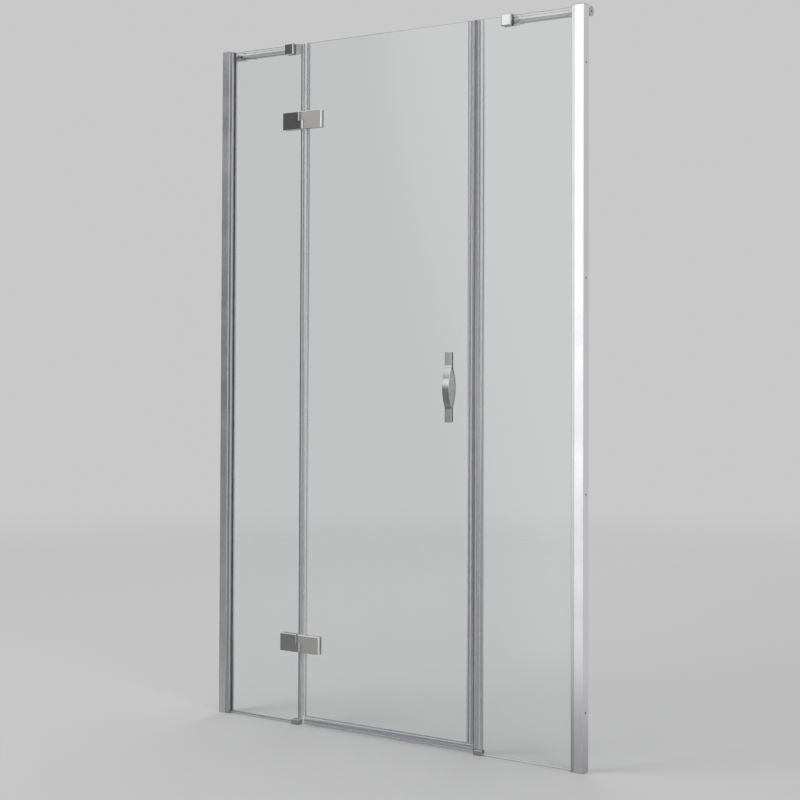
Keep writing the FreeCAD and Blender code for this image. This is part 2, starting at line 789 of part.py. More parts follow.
def handle_bow():
    """Flat bar on the outside of the door, with a foot along the glass at each end and an arc between."""
    x0 = door_right - handle_inset - handle_width / 2
    x1 = x0 + handle_width
    end = handle_length / 2
    crease = end - handle_foot
    foot_face = handle_seat + handle_bar
    rise = handle_face - foot_face
    radius = (crease ** 2 + rise ** 2) / (rise + rise)
    inner_radius = radius - handle_bar
    centre = Vector(x0, radius - handle_face, handle_rise)
    inner_crease = math.sqrt(inner_radius ** 2 - (centre.y + handle_seat) ** 2)
    width = Vector(handle_width, 0, 0)
    hoop = rod(radius, centre, centre + width).cut(rod(inner_radius, centre - width, centre + width + width))
    body = hoop.common(box(x0, x1, -handle_face - overrun, -handle_seat,
                           handle_rise - crease, handle_rise + crease))
    for z0, z1 in ((-end, -crease), (crease, end)):
        body = joined(body, box(x0, x1, -foot_face, -handle_seat, handle_rise + z0, handle_rise + z1))
    hollows = []
    backs = []
    for way in (-1, 1):
        hollows += edges_at(body, y=-foot_face, z=handle_rise + way * crease)
        backs += edges_at(body, y=-handle_seat, z=handle_rise + way * inner_crease)
    body = body.makeFillet(handle_bend, hollows)
    body = body.makeFillet(handle_bend + handle_bar, backs)
    body = body.makeFillet(handle_edge, side_edges(body, x0, foot_face) + side_edges(body, x1, foot_face))
    middle = x0 + handle_width / 2
    for z in handle_bolt_levels():
        seat = Vector(middle, -handle_seat, z)
        depth = handle_bolt_depth + handle_bolt_space
        body = body.cut(rod(handle_bolt_radius + handle_bolt_fit, seat - Vector(0, depth, 0),
                            seat + Vector(0, overrun, 0)))
    return body


def handle_bolt(z):
    """Stud through the door that draws the two bows together."""
    x = door_right - handle_inset
    reach = Vector(0, handle_seat + handle_bolt_depth, 0)
    return rod(handle_bolt_radius, Vector(x, 0, z) - reach, Vector(x, 0, z) + reach)


def handle_pad(z):
    """Soft pad between a foot of a bow and the glass."""
    x = door_right - handle_inset
    half_width = handle_width / 2 - handle_pad_margin
    half_length = handle_foot / 2 - handle_pad_margin
    middle = handle_rise + math.copysign((handle_length - handle_foot) / 2, z - handle_rise)
    body = box(x - half_width, x + half_width, half_glass, handle_seat,
               middle - half_length, middle + half_length)
    hole = rod(handle_bolt_radius + handle_pad_fit, Vector(x, 0, z), Vector(x, handle_seat + overrun, z))
    return body.cut(hole)


# Pieces that both walls have
sides = {
    "left": {"edge": left_pane_edge, "clamp": left_clamp_centre, "ring": left_ring_from_wall},
    "right": {"edge": right_pane_edge, "clamp": right_clamp_centre,
              "ring": bar_end(right_clamp_centre) - right_ring_from_clamp - ring_width},
}
liners = []
foot_screws = []
pads = []
clamp_screws = []
profile_screws = []
for side, place in sides.items():
    save(side + "_wall_channel", at_wall(side, wall_channel()))
    save(side + "_glass_profile", at_wall(side, glass_profile()))
    save(side + "_glazing_gasket", at_wall(side, glazing_gasket()))
    save(side + "_profile_cap", at_wall(side, profile_cap()))
    save(side + "_sill_gasket", at_wall(side, sill_gasket(place["edge"])))
    save(side + "_foot_clip", at_wall(side, foot_clip(place["edge"])))
    save(side + "_bar_clamp", at_wall(side, bar_clamp(place["clamp"])))
    save(side + "_bar_insert", at_wall(side, bar_insert(place["clamp"])))
    save(side + "_support_bar", at_wall(side, support_bar(place["clamp"])))
    save(side + "_bar_ring", at_wall(side, bar_ring(place["ring"])))
    save(side + "_bar_flange", at_wall(side, bar_flange()))
    liners.append(at_wall(side, foot_liner(place["edge"])))
    foot_screws.append(at_wall(side, foot_screw(place["edge"])))
    pads += [at_wall(side, pad) for pad in clamp_pads(place["clamp"])]
    clamp_screws += [at_wall(side, screw) for screw in bar_screws(place["clamp"])]
    profile_screws += [at_wall(side, profile_screw(z)) for z in profile_screw_levels()]
save("foot_liners", *liners)
save("foot_screws", *foot_screws)
save("bar_clamp_pads", *pads)
save("bar_clamp_screws", *clamp_screws)
save("profile_screws", *profile_screws)

# Glass, with the holes that the hinges and the handle need
left_glass = pane(glass_edge_in_profile, left_pane_edge, fixed_glass_lift)
right_glass = pane(right_pane_start, niche_width - glass_edge_in_profile, fixed_glass_lift)
door_glass = pane(door_left, door_right, door_glass_lift)
for hinge_level in hinge_levels.values():
    for screw_level in hinge_screw_levels(hinge_level):
        left_glass = left_glass.cut(glass_hole(hinge_glass_hole, axis_x - hinge_screw_line, screw_level))
        door_glass = door_glass.cut(glass_hole(hinge_glass_hole, axis_x + hinge_screw_line, screw_level))
for bolt_level in handle_bolt_levels():
    door_glass = door_glass.cut(glass_hole(handle_glass_hole, door_right - handle_inset, bolt_level))
save("left_fixed_glass", left_glass)
save("right_fixed_glass", right_glass)
save("door_glass", door_glass)

# Hinges
fixed_gaskets = []
door_gaskets = []
fixed_screws = []
door_screws = []
for place, hinge_level in hinge_levels.items():
    save(place + "_hinge_fixed_plate", on_door(fixed_plate(hinge_level)))
    save(place + "_hinge_fixed_cover", on_fixed_pane(hinge_cover(hinge_level, fixed_plate_reach)))
    save(place + "_hinge_door_plate", on_door(door_plate(hinge_level)))
    save(place + "_hinge_door_cover", on_door(hinge_cover(hinge_level, door_plate_reach)))
    save(place + "_hinge_pin", on_door(hinge_pin(hinge_level)))
    save(place + "_hinge_bush", on_door(hinge_bush(hinge_level)))
    fixed_gaskets += [on_fixed_pane(g) for g in leaf_gaskets(hinge_level, fixed_plate_reach)]
    door_gaskets += [on_door(g) for g in leaf_gaskets(hinge_level, door_plate_reach)]
    for screw_level in hinge_screw_levels(hinge_level):
        fixed_screws.append(on_fixed_pane(hinge_screw(screw_level)))
        door_screws.append(on_door(hinge_screw(screw_level)))
save("hinge_fixed_gaskets", *fixed_gaskets)
save("hinge_door_gaskets", *door_gaskets)
save("hinge_fixed_screws", *fixed_screws)
save("hinge_door_screws", *door_screws)

# Seals
save("hinge_side_seal", hinge_side_seal())
save("drip_seal", drip_seal())
door_seal_start = drip_top + seal_drip_gap
fixed_seal_start = foot_height + seal_foot_gap
save("door_magnetic_seal", magnetic_seal(door_right, -door_seal_leg, door_seal_start))
save("fixed_magnetic_seal", magnetic_seal(right_pane_start, fixed_seal_leg, fixed_seal_start))
save("door_magnet_strip", magnet_strip(door_right, -door_seal_leg, door_seal_start))
save("fixed_magnet_strip", magnet_strip(right_pane_start, fixed_seal_leg, fixed_seal_start))

# Handles
save("outer_handle", handle_bow())
save("inner_handle", twin(handle_bow()))
save("handle_bolts", *[handle_bolt(z) for z in handle_bolt_levels()])
handle_pads = [handle_pad(z) for z in handle_bolt_levels()]
save("handle_pads", *handle_pads, *[twin(p) for p in handle_pads])
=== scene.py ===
import math
from collections import namedtuple
from functools import partial

import bmesh
import bpy
from bpy.props import FloatProperty, FloatVectorProperty, IntProperty, PointerProperty
from mathutils import Matrix, Vector
from mathutils.geometry import tessellate_polygon


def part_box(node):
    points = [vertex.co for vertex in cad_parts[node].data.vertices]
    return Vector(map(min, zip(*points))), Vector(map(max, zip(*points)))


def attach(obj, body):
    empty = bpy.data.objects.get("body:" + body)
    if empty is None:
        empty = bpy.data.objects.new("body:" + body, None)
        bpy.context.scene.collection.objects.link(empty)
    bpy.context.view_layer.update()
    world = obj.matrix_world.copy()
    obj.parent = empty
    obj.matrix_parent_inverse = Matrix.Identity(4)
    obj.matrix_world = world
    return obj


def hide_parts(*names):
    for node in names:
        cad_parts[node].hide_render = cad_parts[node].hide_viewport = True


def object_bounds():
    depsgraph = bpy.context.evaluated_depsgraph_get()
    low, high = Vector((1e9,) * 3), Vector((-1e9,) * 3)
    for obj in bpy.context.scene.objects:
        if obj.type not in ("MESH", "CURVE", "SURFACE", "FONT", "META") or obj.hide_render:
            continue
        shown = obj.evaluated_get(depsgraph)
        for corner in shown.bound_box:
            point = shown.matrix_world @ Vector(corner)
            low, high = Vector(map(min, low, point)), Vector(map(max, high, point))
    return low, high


bl_info = {
    "name": "Alcove Shower Door",
    "version": (1, 0, 0),
    "blender": (4, 5, 0),
    "location": "View3D > Sidebar > Shower Door",
    "description": "Finishes, soft seals and stage for a hinged shower door between two walls",
    "category": "Object",
}

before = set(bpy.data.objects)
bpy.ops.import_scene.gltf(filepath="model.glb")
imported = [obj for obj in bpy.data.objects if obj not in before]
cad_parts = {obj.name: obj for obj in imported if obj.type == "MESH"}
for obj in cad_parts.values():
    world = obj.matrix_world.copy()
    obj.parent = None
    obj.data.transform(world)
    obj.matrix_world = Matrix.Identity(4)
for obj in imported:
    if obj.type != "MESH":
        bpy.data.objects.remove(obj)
cad_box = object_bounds()

DOOR = "door"
FRAME = "frame"
SIDES = ("left", "right")
HINGES = ("upper", "lower")


# Settings

def swatch(name, description, default):
    """A setting that holds a colour."""
    return FloatVectorProperty(name=name, description=description, default=default,
                               min=0, max=1, size=3, subtype="COLOR")


class GlassSettings(bpy.types.PropertyGroup):
    """Colours of the toughened panes"""

    body_colour: swatch(
        "Body Colour", "Faint tint that the pane gives to what is seen through it",
        (0.955, 0.975, 0.965))
    edge_colour: swatch("Edge Colour", "Tint of the ground and polished edges", (0.50, 0.66, 0.60))
    edge_roughness: FloatProperty(
        name="Edge Roughness", description="Roughness left by grinding the edges",
        default=0.10, min=0, max=0.14, subtype="FACTOR")
    # Painted glow: the pane's edges give off light of their own, standing in for light led out
    # through them
    painted_edge_glow: swatch(
        "Edge Glow", "Light that the pane leads from its faces out through its edges",
        (0.055, 0.095, 0.080))


class MetalSettings(bpy.types.PropertyGroup):
    """Colours and polish of the metal fittings and profiles"""

    chrome_colour: swatch("Chrome", "Colour of polished chrome plating", (0.60, 0.60, 0.61))
    chrome_haze_colour: swatch(
        "Chrome Haze", "Colour where the plating is faintly hazed", (0.53, 0.53, 0.54))
    satin_colour: swatch("Satin", "Colour of the brushed hinge leaves", (0.66, 0.65, 0.62))
    satin_line_colour: swatch("Satin Lines", "Colour in the brushing lines", (0.52, 0.51, 0.49))
    # Painted highlight: the rims of the brushed leaves are drawn brighter, as if they caught the
    # light
    painted_rim_highlight_colour: swatch(
        "Leaf Rims", "Colour of the bright rims of the brushed leaves", (0.93, 0.93, 0.94))
    aluminium_colour: swatch(
        "Aluminium", "Colour of the bright anodised profiles", (0.88, 0.88, 0.90))
    aluminium_streak_colour: swatch(
        "Aluminium Streaks", "Colour of the streaks along the profiles", (0.80, 0.80, 0.82))
    # Painted shade: the glass profiles are the wall channels' aluminium, drawn darker by this
    # share
    nose_painted_shade: FloatProperty(
        name="Nose Brightness",
        description="How bright the sliding inner section is beside the outer one",
        default=0.72, min=0, max=1, subtype="FACTOR")
    steel_colour: swatch("Steel", "Colour of screws, bolts and pins", (0.60, 0.60, 0.61))
    steel_haze_colour: swatch("Steel Haze", "Colour where the steel is hazed", (0.48, 0.48, 0.488))


class PlasticSettings(bpy.types.PropertyGroup):
    """Colours of the rubber and plastic pieces"""

    rubber_colour: swatch("Rubber", "Colour of the grey rubber gaskets", (0.150, 0.152, 0.158))
    rubber_cloud_colour: swatch(
        "Rubber Bloom", "Colour where the rubber has a pale bloom", (0.215, 0.215, 0.225))
    gasket_colour: swatch(
        "Hinge Gaskets", "Colour of the pale gaskets in the hinges", (0.58, 0.58, 0.59))
    gasket_cloud_colour: swatch(
        "Hinge Gasket Bloom", "Colour where the pale gaskets have a bloom", (0.66, 0.66, 0.67))
    magnet_colour: swatch("Magnet Strip", "Colour of the magnet strips", (0.49, 0.48, 0.51))
    magnet_cloud_colour: swatch(
        "Magnet Strip Clouds", "Colour of the paler clouds in the magnet strips",
        (0.57, 0.56, 0.59))
    bush_colour: swatch("Bushes", "Colour of the hinge bushes", (0.74, 0.73, 0.69))
    bush_cloud_colour: swatch(
        "Bush Clouds", "Colour of the darker clouds in the bushes", (0.68, 0.67, 0.63))
    cap_colour: swatch("Profile Caps", "Colour of the caps on the profiles", (0.50, 0.50, 0.51))
    cap_cloud_colour: swatch(
        "Profile Cap Clouds", "Colour of the darker clouds in the caps", (0.44, 0.44, 0.46))


class SealSettings(bpy.types.PropertyGroup):
    """Colours and small sizes of the soft profiles"""

    vinyl_colour: swatch(
        "Vinyl", "Colour of the soft vinyl in its darker lines", (0.50, 0.49, 0.53))
    vinyl_clear_colour: swatch(
        "Clear Vinyl", "Colour where the vinyl is clearest", (0.985, 0.98, 0.99))
    glass_clearance: FloatProperty(
        name="Glass Clearance", description="Space between a seal's leg and the glass",
        default=0.00012, min=0, max=0.001, unit="LENGTH")
    lip_length: FloatProperty(
        name="Lip Length", description="Length of the lip at the tip of each leg",
        default=0.0022, min=0.0005, max=0.004, unit="LENGTH")
    ridge_height: FloatProperty(
        name="Ridge Height", description="Height of the grip ridges along a seal's leg",
        default=0.00022, min=0, max=0.0005, unit="LENGTH")
    ridge_width: FloatProperty(
        name="Ridge Width", description="Width of one grip ridge",
        default=0.0011, min=0.0002, max=0.003, unit="LENGTH")
    ridge_count: IntProperty(
        name="Ridges", description="Number of grip ridges along a seal's leg",
        default=3, min=0, max=8)
    corner_round: FloatProperty(
        name="Corner Radius", description="Radius on the corners of the soft profiles",
        default=0.0004, min=0.0001, max=0.001, unit="LENGTH")
    arris_round: FloatProperty(
        name="Arris Radius", description="Radius on the arrises of pads, liners and gaskets",
        default=0.00028, min=0.0001, max=0.001, unit="LENGTH")
    bulb_wall: FloatProperty(
        name="Bulb Wall", description="Wall of the hollow bulbs and magnet housings",
        default=0.0009, min=0.0004, max=0.002, unit="LENGTH")
    fin_thickness: FloatProperty(
        name="Fin Thickness", description="Thickness of the drip fin at its tip",
        default=0.0007, min=0.0003, max=0.002, unit="LENGTH")


class StageSettings(bpy.types.PropertyGroup):
    """Floor, background, lamps and camera"""

    floor_colour: swatch("Floor", "Colour of the plain floor", (0.60, 0.60, 0.60))
    background_colour: swatch(
        "Background", "Colour seen behind the door and through its glass", (0.58, 0.58, 0.585))
    floor_radius: FloatProperty(
        name="Floor Radius", description="Radius of the round floor",
        default=7.0, min=2, max=30, unit="LENGTH")
    floor_clear_radius: FloatProperty(
        name="Full Floor Radius", description="Radius inside which the floor is fully there",
        default=1.6, min=0.5, max=20, unit="LENGTH")
    sky_light: FloatProperty(
        name="Sky Light", description="Strength of the even light from all round",
        default=0.62, min=0, max=2)
    key_power: FloatProperty(
        name="Key Lamp", description="Power of the large soft lamp at the front left",
        default=95.0, min=0, max=2000, unit="POWER")
    fill_power: FloatProperty(
        name="Fill Lamp", description="Power of the soft lamp at the front right",
        default=35.0, min=0, max=2000, unit="POWER")
    rim_power: FloatProperty(
        name="Rim Lamp", description="Power of the soft lamp behind the door",
        default=35.0, min=0, max=2000, unit="POWER")
    camera_place: FloatVectorProperty(
        name="Camera", description="Place of the camera",
        default=(2.3312, -3.5012, 1.0517), size=3, subtype="TRANSLATION", unit="LENGTH")
    camera_turn: FloatProperty(
        name="Camera Turn", description="Turn of the camera to the left of the door's normal",
        default=0.5831, subtype="ANGLE")
    camera_tilt: FloatProperty(
        name="Camera Tilt", description="Tilt of the camera above the level",
        default=0.0209, subtype="ANGLE")
    camera_roll: FloatProperty(
        name="Camera Roll", description="Roll of the camera about its own line",
        default=0.0038, subtype="ANGLE")
    camera_lens: FloatProperty(
        name="Lens", description="Focal length of the camera in millimetres",
        default=68.62, min=10, max=300)
    camera_shift: FloatProperty(
        name="Vertical Shift", description="Vertical shift of the camera's frame",
        default=-0.0959, min=-1, max=1)


# Node helpers

NODE_PITCH = 200


def feed(tree, node, inputs):
    """Sets a node's sockets: a socket as value is linked, anything else becomes the default."""
    for name, value in inputs.items():
        if isinstance(value, bpy.types.NodeSocket):
            tree.links.new(value, node.inputs[name])
        else:
            node.inputs[name].default_value = value


def add(tree, kind, inputs=None, **properties):
    """Adds a node of that kind to a tree, in a row from left to right."""
    node = tree.nodes.new(kind)
    node.location = (NODE_PITCH * len(tree.nodes), 0)
    for name, value in properties.items():
        setattr(node, name, value)
    feed(tree, node, inputs or {})
    return node


def coordinates(tree, kind="Object"):
    """The texture coordinates of that kind."""
    return add(tree, "ShaderNodeTexCoord").outputs[kind]


def axes(tree, vector):
    """The three parts of a vector, by the name of their axis."""
    return add(tree, "ShaderNodeSeparateXYZ", {"Vector": vector}).outputs


def computed(tree, operation, *values, clamp=False):
    """The result of a math node on those numbers."""
    node = add(tree, "ShaderNodeMath", dict(enumerate(values)), operation=operation,
               use_clamp=clamp)
    return node.outputs["Value"]


def vector_computed(tree, operation, *values):
    """The outputs of a vector math node on those vectors."""
    return add(tree, "ShaderNodeVectorMath", dict(enumerate(values)), operation=operation).outputs


def mapped(tree, value, source, target=(0, 1), interpolation="LINEAR"):
    """A number carried from the source range to the target range and kept inside it."""
    node = add(tree, "ShaderNodeMapRange", {
        "Value": value, "From Min": source[0], "From Max": source[1],
        "To Min": target[0], "To Max": target[1]}, interpolation_type=interpolation)
    return node.outputs["Result"]


def between(tree, mask, low, high):
    """A number that goes from low to high as the mask goes from nought to one."""
    return mapped(tree, mask, (0, 1), (low, high))


def noise(tree, place, scale, detail, roughness):
    """Soft noise about one half."""
    node = add(tree, "ShaderNodeTexNoise", {
        "Vector": place, "Scale": scale, "Detail": detail, "Roughness": roughness})
    return node.outputs["Fac"]


def blend_colours(tree, mask, first, second):
    """A colour that goes from the first to the second as the mask goes from nought to one."""
    mix = add(tree, "ShaderNodeMix", data_type="RGBA")
    feed(tree, mix, {"Factor": mask})
    ends = [socket for socket in mix.inputs if socket.type == "RGBA"]
    for end, colour in zip(ends, (first, second)):
        if isinstance(colour, bpy.types.NodeSocket):
            tree.links.new(colour, end)
        else:
            end.default_value = (*colour, 1)
    return [socket for socket in mix.outputs if socket.type == "RGBA"][0]


def blend_shaders(tree, mask, first, second):
    """A shader that goes from the first to the second as the mask goes from nought to one."""
    return add(tree, "ShaderNodeMixShader", {"Fac": mask, 1: first, 2: second}).outputs["Shader"]


def bumped(tree, height, depth, strength):
    """A normal that follows a height map of that real depth."""
    bump = add(tree, "ShaderNodeBump", {"Height": height, "Distance": depth, "Strength": strength})
    return bump.outputs["Normal"]


def new_group(name, inputs, outputs):
    """A shader node group with its sockets: its tree, its input node and its output node."""
    tree = bpy.data.node_groups.new(name, "ShaderNodeTree")
    for label, kind, value in inputs:
        socket = tree.interface.new_socket(label, in_out="INPUT", socket_type=kind)
        socket.default_value = value
    for label, kind in outputs:
        tree.interface.new_socket(label, in_out="OUTPUT", socket_type=kind)
    return tree, add(tree, "NodeGroupInput"), tree.nodes.new("NodeGroupOutput")


def place_group(tree, name, inputs=None):
    """Places a shared effect in a material, building the effect the first time."""
    group = bpy.data.node_groups.get(name) or EFFECTS[name](name)
    return add(tree, "ShaderNodeGroup", inputs, node_tree=group).outputs


# Shared effects

HAZE_SPREAD = (0.36, 0.64)
MOTTLES_PER_PATCH = 14.0
CLOUD_SPREAD = (0.34, 0.66)
CLOUDS_PER_METRE = 26.0


def streaks(name):
    """Long fine lines along one axis, as a die or a brush leaves them."""
    tree, given, result = new_group(
        name,
        (("Lines Per Metre", "NodeSocketVector", (600, 600, 3)),
         ("Contrast", "NodeSocketFloat", 0.25)),
        (("Streaks", "NodeSocketFloat"), ("Height", "NodeSocketFloat")))
    scaled = vector_computed(
        tree, "MULTIPLY", coordinates(tree), given.outputs["Lines Per Metre"])
    lines = noise(tree, scaled["Vector"], scale=1.0, detail=3.0, roughness=0.6)
    low = computed(tree, "SUBTRACT", 0.5, given.outputs["Contrast"])
    high = computed(tree, "ADD", 0.5, given.outputs["Contrast"])
    feed(tree, result, {"Streaks": mapped(tree, lines, (low, high)), "Height": lines})
    return tree


def haze(name):
    """Broad soft patches with a little fine mottling, as wiping and handling leave them."""
    tree, given, result = new_group(
        name,
        (("Patches Per Metre", "NodeSocketFloat", 18.0), ("Mottling", "NodeSocketFloat", 0.25)),
        (("Haze", "NodeSocketFloat"),))
    place = coordinates(tree)
    patches = given.outputs["Patches Per Metre"]
    mottles = computed(tree, "MULTIPLY", patches, MOTTLES_PER_PATCH)
    both = add(tree, "ShaderNodeMix", {
        "Factor": given.outputs["Mottling"],
        "A": noise(tree, place, patches, detail=2.0, roughness=0.55),
        "B": noise(tree, place, mottles, detail=3.0, roughness=0.6)})
    feed(tree, result, {"Haze": mapped(tree, both.outputs["Result"], HAZE_SPREAD)})
    return tree


def moulded_grain(name):
    """Fine pits and swellings of a moulded or extruded soft surface."""
    tree, given, result = new_group(
        name,
        (("Grains Per Metre", "NodeSocketFloat", 900.0),),
        (("Grain", "NodeSocketFloat"), ("Cloud", "NodeSocketFloat")))
    place = coordinates(tree)
    cloud = noise(tree, place, CLOUDS_PER_METRE, detail=3.0, roughness=0.55)
    feed(tree, result, {
        "Grain": noise(tree, place, given.outputs["Grains Per Metre"], detail=2.0, roughness=0.5),
        "Cloud": mapped(tree, cloud, CLOUD_SPREAD)})
    return tree


def cut_edges(name):
    """One on the edges, holes and arrises of a flat piece and nought on its two faces."""
    tree, given, result = new_group(
        name, (("Face Limit", "NodeSocketFloat", 0.9),), (("Edge", "NodeSocketFloat"),))
    facing = computed(tree, "ABSOLUTE", axes(tree, coordinates(tree, "Normal"))["Y"])
    feed(tree, result, {
        "Edge": computed(tree, "LESS_THAN", facing, given.outputs["Face Limit"])})
    return tree


EFFECTS = {
    "streaks": streaks, "haze": haze, "moulded_grain": moulded_grain, "cut_edges": cut_edges}


# Finishes

GLASS_SHADOW_TINT = (0.93, 0.95, 0.94)
VINYL_SHADOW_TINT = (0.80, 0.80, 0.82)
SURFACE_RELIEF = 0.0001
DIE_RELIEF = 0.00002
UPRIGHT_DRAW_LINES = (200, 200, 0.4)
LEVEL_DRAW_LINES = (0.4, 200, 200)


def new_finish(name):
    """A new material with its tree and its shader."""
    made = bpy.data.materials.new(name)
    made.use_nodes = True
    return made, made.node_tree, made.node_tree.nodes["Principled BSDF"]


def show(tree, surface):
    """Makes a shader the surface of its material."""
    feed(tree, tree.nodes["Material Output"], {"Surface": surface})


def let_lamps_through(tree, shader, tint):
    """Gives the clear material tinted shadows in place of full ones."""
    path = add(tree, "ShaderNodeLightPath")
    open_way = add(tree, "ShaderNodeBsdfTransparent", {"Color": (*tint, 1)})
    show(tree, blend_shaders(
        tree, path.outputs["Is Shadow Ray"], shader.outputs["BSDF"], open_way.outputs["BSDF"]))


def toughened_glass(settings):
    """Clear glass with greener ground edges that carry a painted glow, which lets the lamps
    through.
    """
    made, tree, shader = new_finish("toughened_glass")
    glass = settings.glass
    edge = place_group(tree, "cut_edges")["Edge"]
    feed(tree, shader, {
        "Base Color": blend_colours(tree, edge, glass.body_colour, glass.edge_colour),
        "Roughness": between(tree, edge, 0.0, glass.edge_roughness),
        # Painted glow: emission on the edges makes them shine though the glass is no lamp
        "Emission Color": blend_colours(tree, edge, (0, 0, 0), glass.painted_edge_glow),
        "Emission Strength": 1.0, "IOR": 1.5, "Transmission Weight": 1.0})
    let_lamps_through(tree, shader, GLASS_SHADOW_TINT)
    return made


def polished_chrome(settings):
    """Bright plating with faint wiping haze."""
    made, tree, shader = new_finish("polished_chrome")
    metal = settings.metal
    mask = place_group(tree, "haze", {"Patches Per Metre": 22.0, "Mottling": 0.3})["Haze"]
    grain = place_group(tree, "moulded_grain", {"Grains Per Metre": 160.0})["Grain"]
    feed(tree, shader, {
        "Base Color": blend_colours(tree, mask, metal.chrome_colour, metal.chrome_haze_colour),
        "Metallic": 1.0,
        "Roughness": between(tree, mask, 0.045, 0.12),
        "Normal": bumped(tree, grain, SURFACE_RELIEF, 0.12)})
    return made


def satin_chrome(settings):
    """Brushed leaves with fine level lines and a painted highlight on their cut rims."""
    made, tree, shader = new_finish("satin_chrome")
    metal = settings.metal
    lines = place_group(tree, "streaks", {"Lines Per Metre": (40, 2600, 2600), "Contrast": 0.22})
    # Mask for the painted highlight on the cut rims
    rim = place_group(tree, "cut_edges")["Edge"]
    brushed = blend_colours(tree, lines["Streaks"], metal.satin_colour, metal.satin_line_colour)
    feed(tree, shader, {
        "Base Color": blend_colours(tree, rim, brushed, metal.painted_rim_highlight_colour),
        "Metallic": 1.0,
        "Roughness": between(tree, lines["Streaks"], 0.30, 0.42),
        "Normal": bumped(tree, lines["Height"], SURFACE_RELIEF, 0.35)})
    return made


def extruded_aluminium(name, settings, share):
    """Bright anodised extrusion with streaks along it, at a share of the full brightness; a share
    below one is painted shade.
    """
    made, tree, shader = new_finish(name)
    metal = settings.metal
    lines = place_group(tree, "streaks", {"Lines Per Metre": (900, 900, 0.9), "Contrast": 0.24})
    mask = place_group(tree, "haze", {"Patches Per Metre": 9.0, "Mottling": 0.2})["Haze"]
    plain, streaked = ([share * part for part in colour] for colour in (
        metal.aluminium_colour, metal.aluminium_streak_colour))
    feed(tree, shader, {
        "Base Color": blend_colours(tree, lines["Streaks"], plain, streaked),
        "Metallic": 1.0,
        "Roughness": between(tree, mask, 0.20, 0.25),
        "Normal": bumped(tree, lines["Height"], DIE_RELIEF, 0.10)})
    return made


def outer_aluminium(settings):
    """Aluminium of the wall channels."""
    return extruded_aluminium("outer_aluminium", settings, 1)


def inner_aluminium(settings):
    """Aluminium of the sections that hold the glass, with painted shade: the channels' aluminium
    drawn darker by the nose share.
    """
    return extruded_aluminium("inner_aluminium", settings, settings.metal.nose_painted_shade)


def turned_steel(settings):
    """Stainless steel of the screws, bolts and pins."""
    made, tree, shader = new_finish("turned_steel")
    metal = settings.metal
    mask = place_group(tree, "haze", {"Patches Per Metre": 160.0, "Mottling": 0.5})["Haze"]
    feed(tree, shader, {
        "Base Color": blend_colours(tree, mask, metal.steel_colour, metal.steel_haze_colour),
        "Metallic": 1.0,
        "Roughness": between(tree, mask, 0.22, 0.36)})
    return made


def drawn_vinyl(name, settings, lines_per_metre):
    """Clear soft vinyl, milky in fine lines that run along the extrusion."""
    made, tree, shader = new_finish(name)
    seal = settings.seal
    lines = place_group(tree, "streaks", {"Lines Per Metre": lines_per_metre, "Contrast": 0.06})
    feed(tree, shader, {
        "Base Color": blend_colours(
            tree, lines["Streaks"], seal.vinyl_colour, seal.vinyl_clear_colour),
        "Roughness": between(tree, lines["Streaks"], 0.03, 0.08),
        "IOR": 1.5, "Transmission Weight": 0.88,
        "Normal": bumped(tree, lines["Height"], SURFACE_RELIEF, 0.3)})
    let_lamps_through(tree, shader, VINYL_SHADOW_TINT)
    return made


def upright_vinyl(settings):
    """Vinyl of the seals that stand up."""
    return drawn_vinyl("upright_vinyl", settings, UPRIGHT_DRAW_LINES)


def level_vinyl(settings):
    """Vinyl of the seals that lie level."""
    return drawn_vinyl("level_vinyl", settings, LEVEL_DRAW_LINES)


# Each moulded plastic's colours in the settings, its roughnesses and its grains per metre
PLASTICS = {
    "moulded_rubber": ("rubber", (0.55, 0.75), 1400.0),
    "pale_rubber": ("gasket", (0.50, 0.65), 1400.0),
    "bonded_ferrite": ("magnet", (0.5, 0.65), 1200.0),
    "acetal": ("bush", (0.32, 0.45), 700.0),
    "silver_plastic": ("cap", (0.30, 0.42), 900.0),
}


def moulded(name, settings):
    """A moulded plastic that clouds from one colour and roughness to another."""
    made, tree, shader = new_finish(name)
    kind, roughness, grains = PLASTICS[name]
    plain = getattr(settings.plastic, kind + "_colour")
    cloudy = getattr(settings.plastic, kind + "_cloud_colour")
    grain = place_group(tree, "moulded_grain", {"Grains Per Metre": grains})
    feed(tree, shader, {
        "Base Color": blend_colours(tree, grain["Cloud"], plain, cloudy),
        "Roughness": between(tree, grain["Cloud"], *roughness),
        "Normal": bumped(tree, grain["Grain"], SURFACE_RELIEF, 0.4)})
    return made


FINISHES = {maker.__name__: maker for maker in (
    toughened_glass, polished_chrome, satin_chrome, outer_aluminium, inner_aluminium,
    turned_steel, upright_vinyl, level_vinyl)}
FINISHES.update((name, partial(moulded, name)) for name in PLASTICS)


def finish(context, name):
    """The finished material of that name, built the first time it is asked for."""
    return bpy.data.materials.get(name) or FINISHES[name](context.scene.shower_door)


def dress(context, finish_name, *nodes):
    """Gives a finish to the slots of solid parts."""
    for node in nodes:
        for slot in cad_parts[node].material_slots:
            slot.material = finish(context, finish_name)


# Soft profiles, drawn as (s, t) from the edge of the glass: s away from the pane, t across it

X_AXIS = 0
Z_AXIS = 2
ARC_STEPS = 5
CORNER_REACH_LIMIT = 0.45
SHARP_ANGLE = math.radians(38)
FLAT_ANGLE = math.radians(1)
ARRIS_STEPS = 3
ARRIS_PROFILE = 0.5
SAME_PLACE = 1e-6


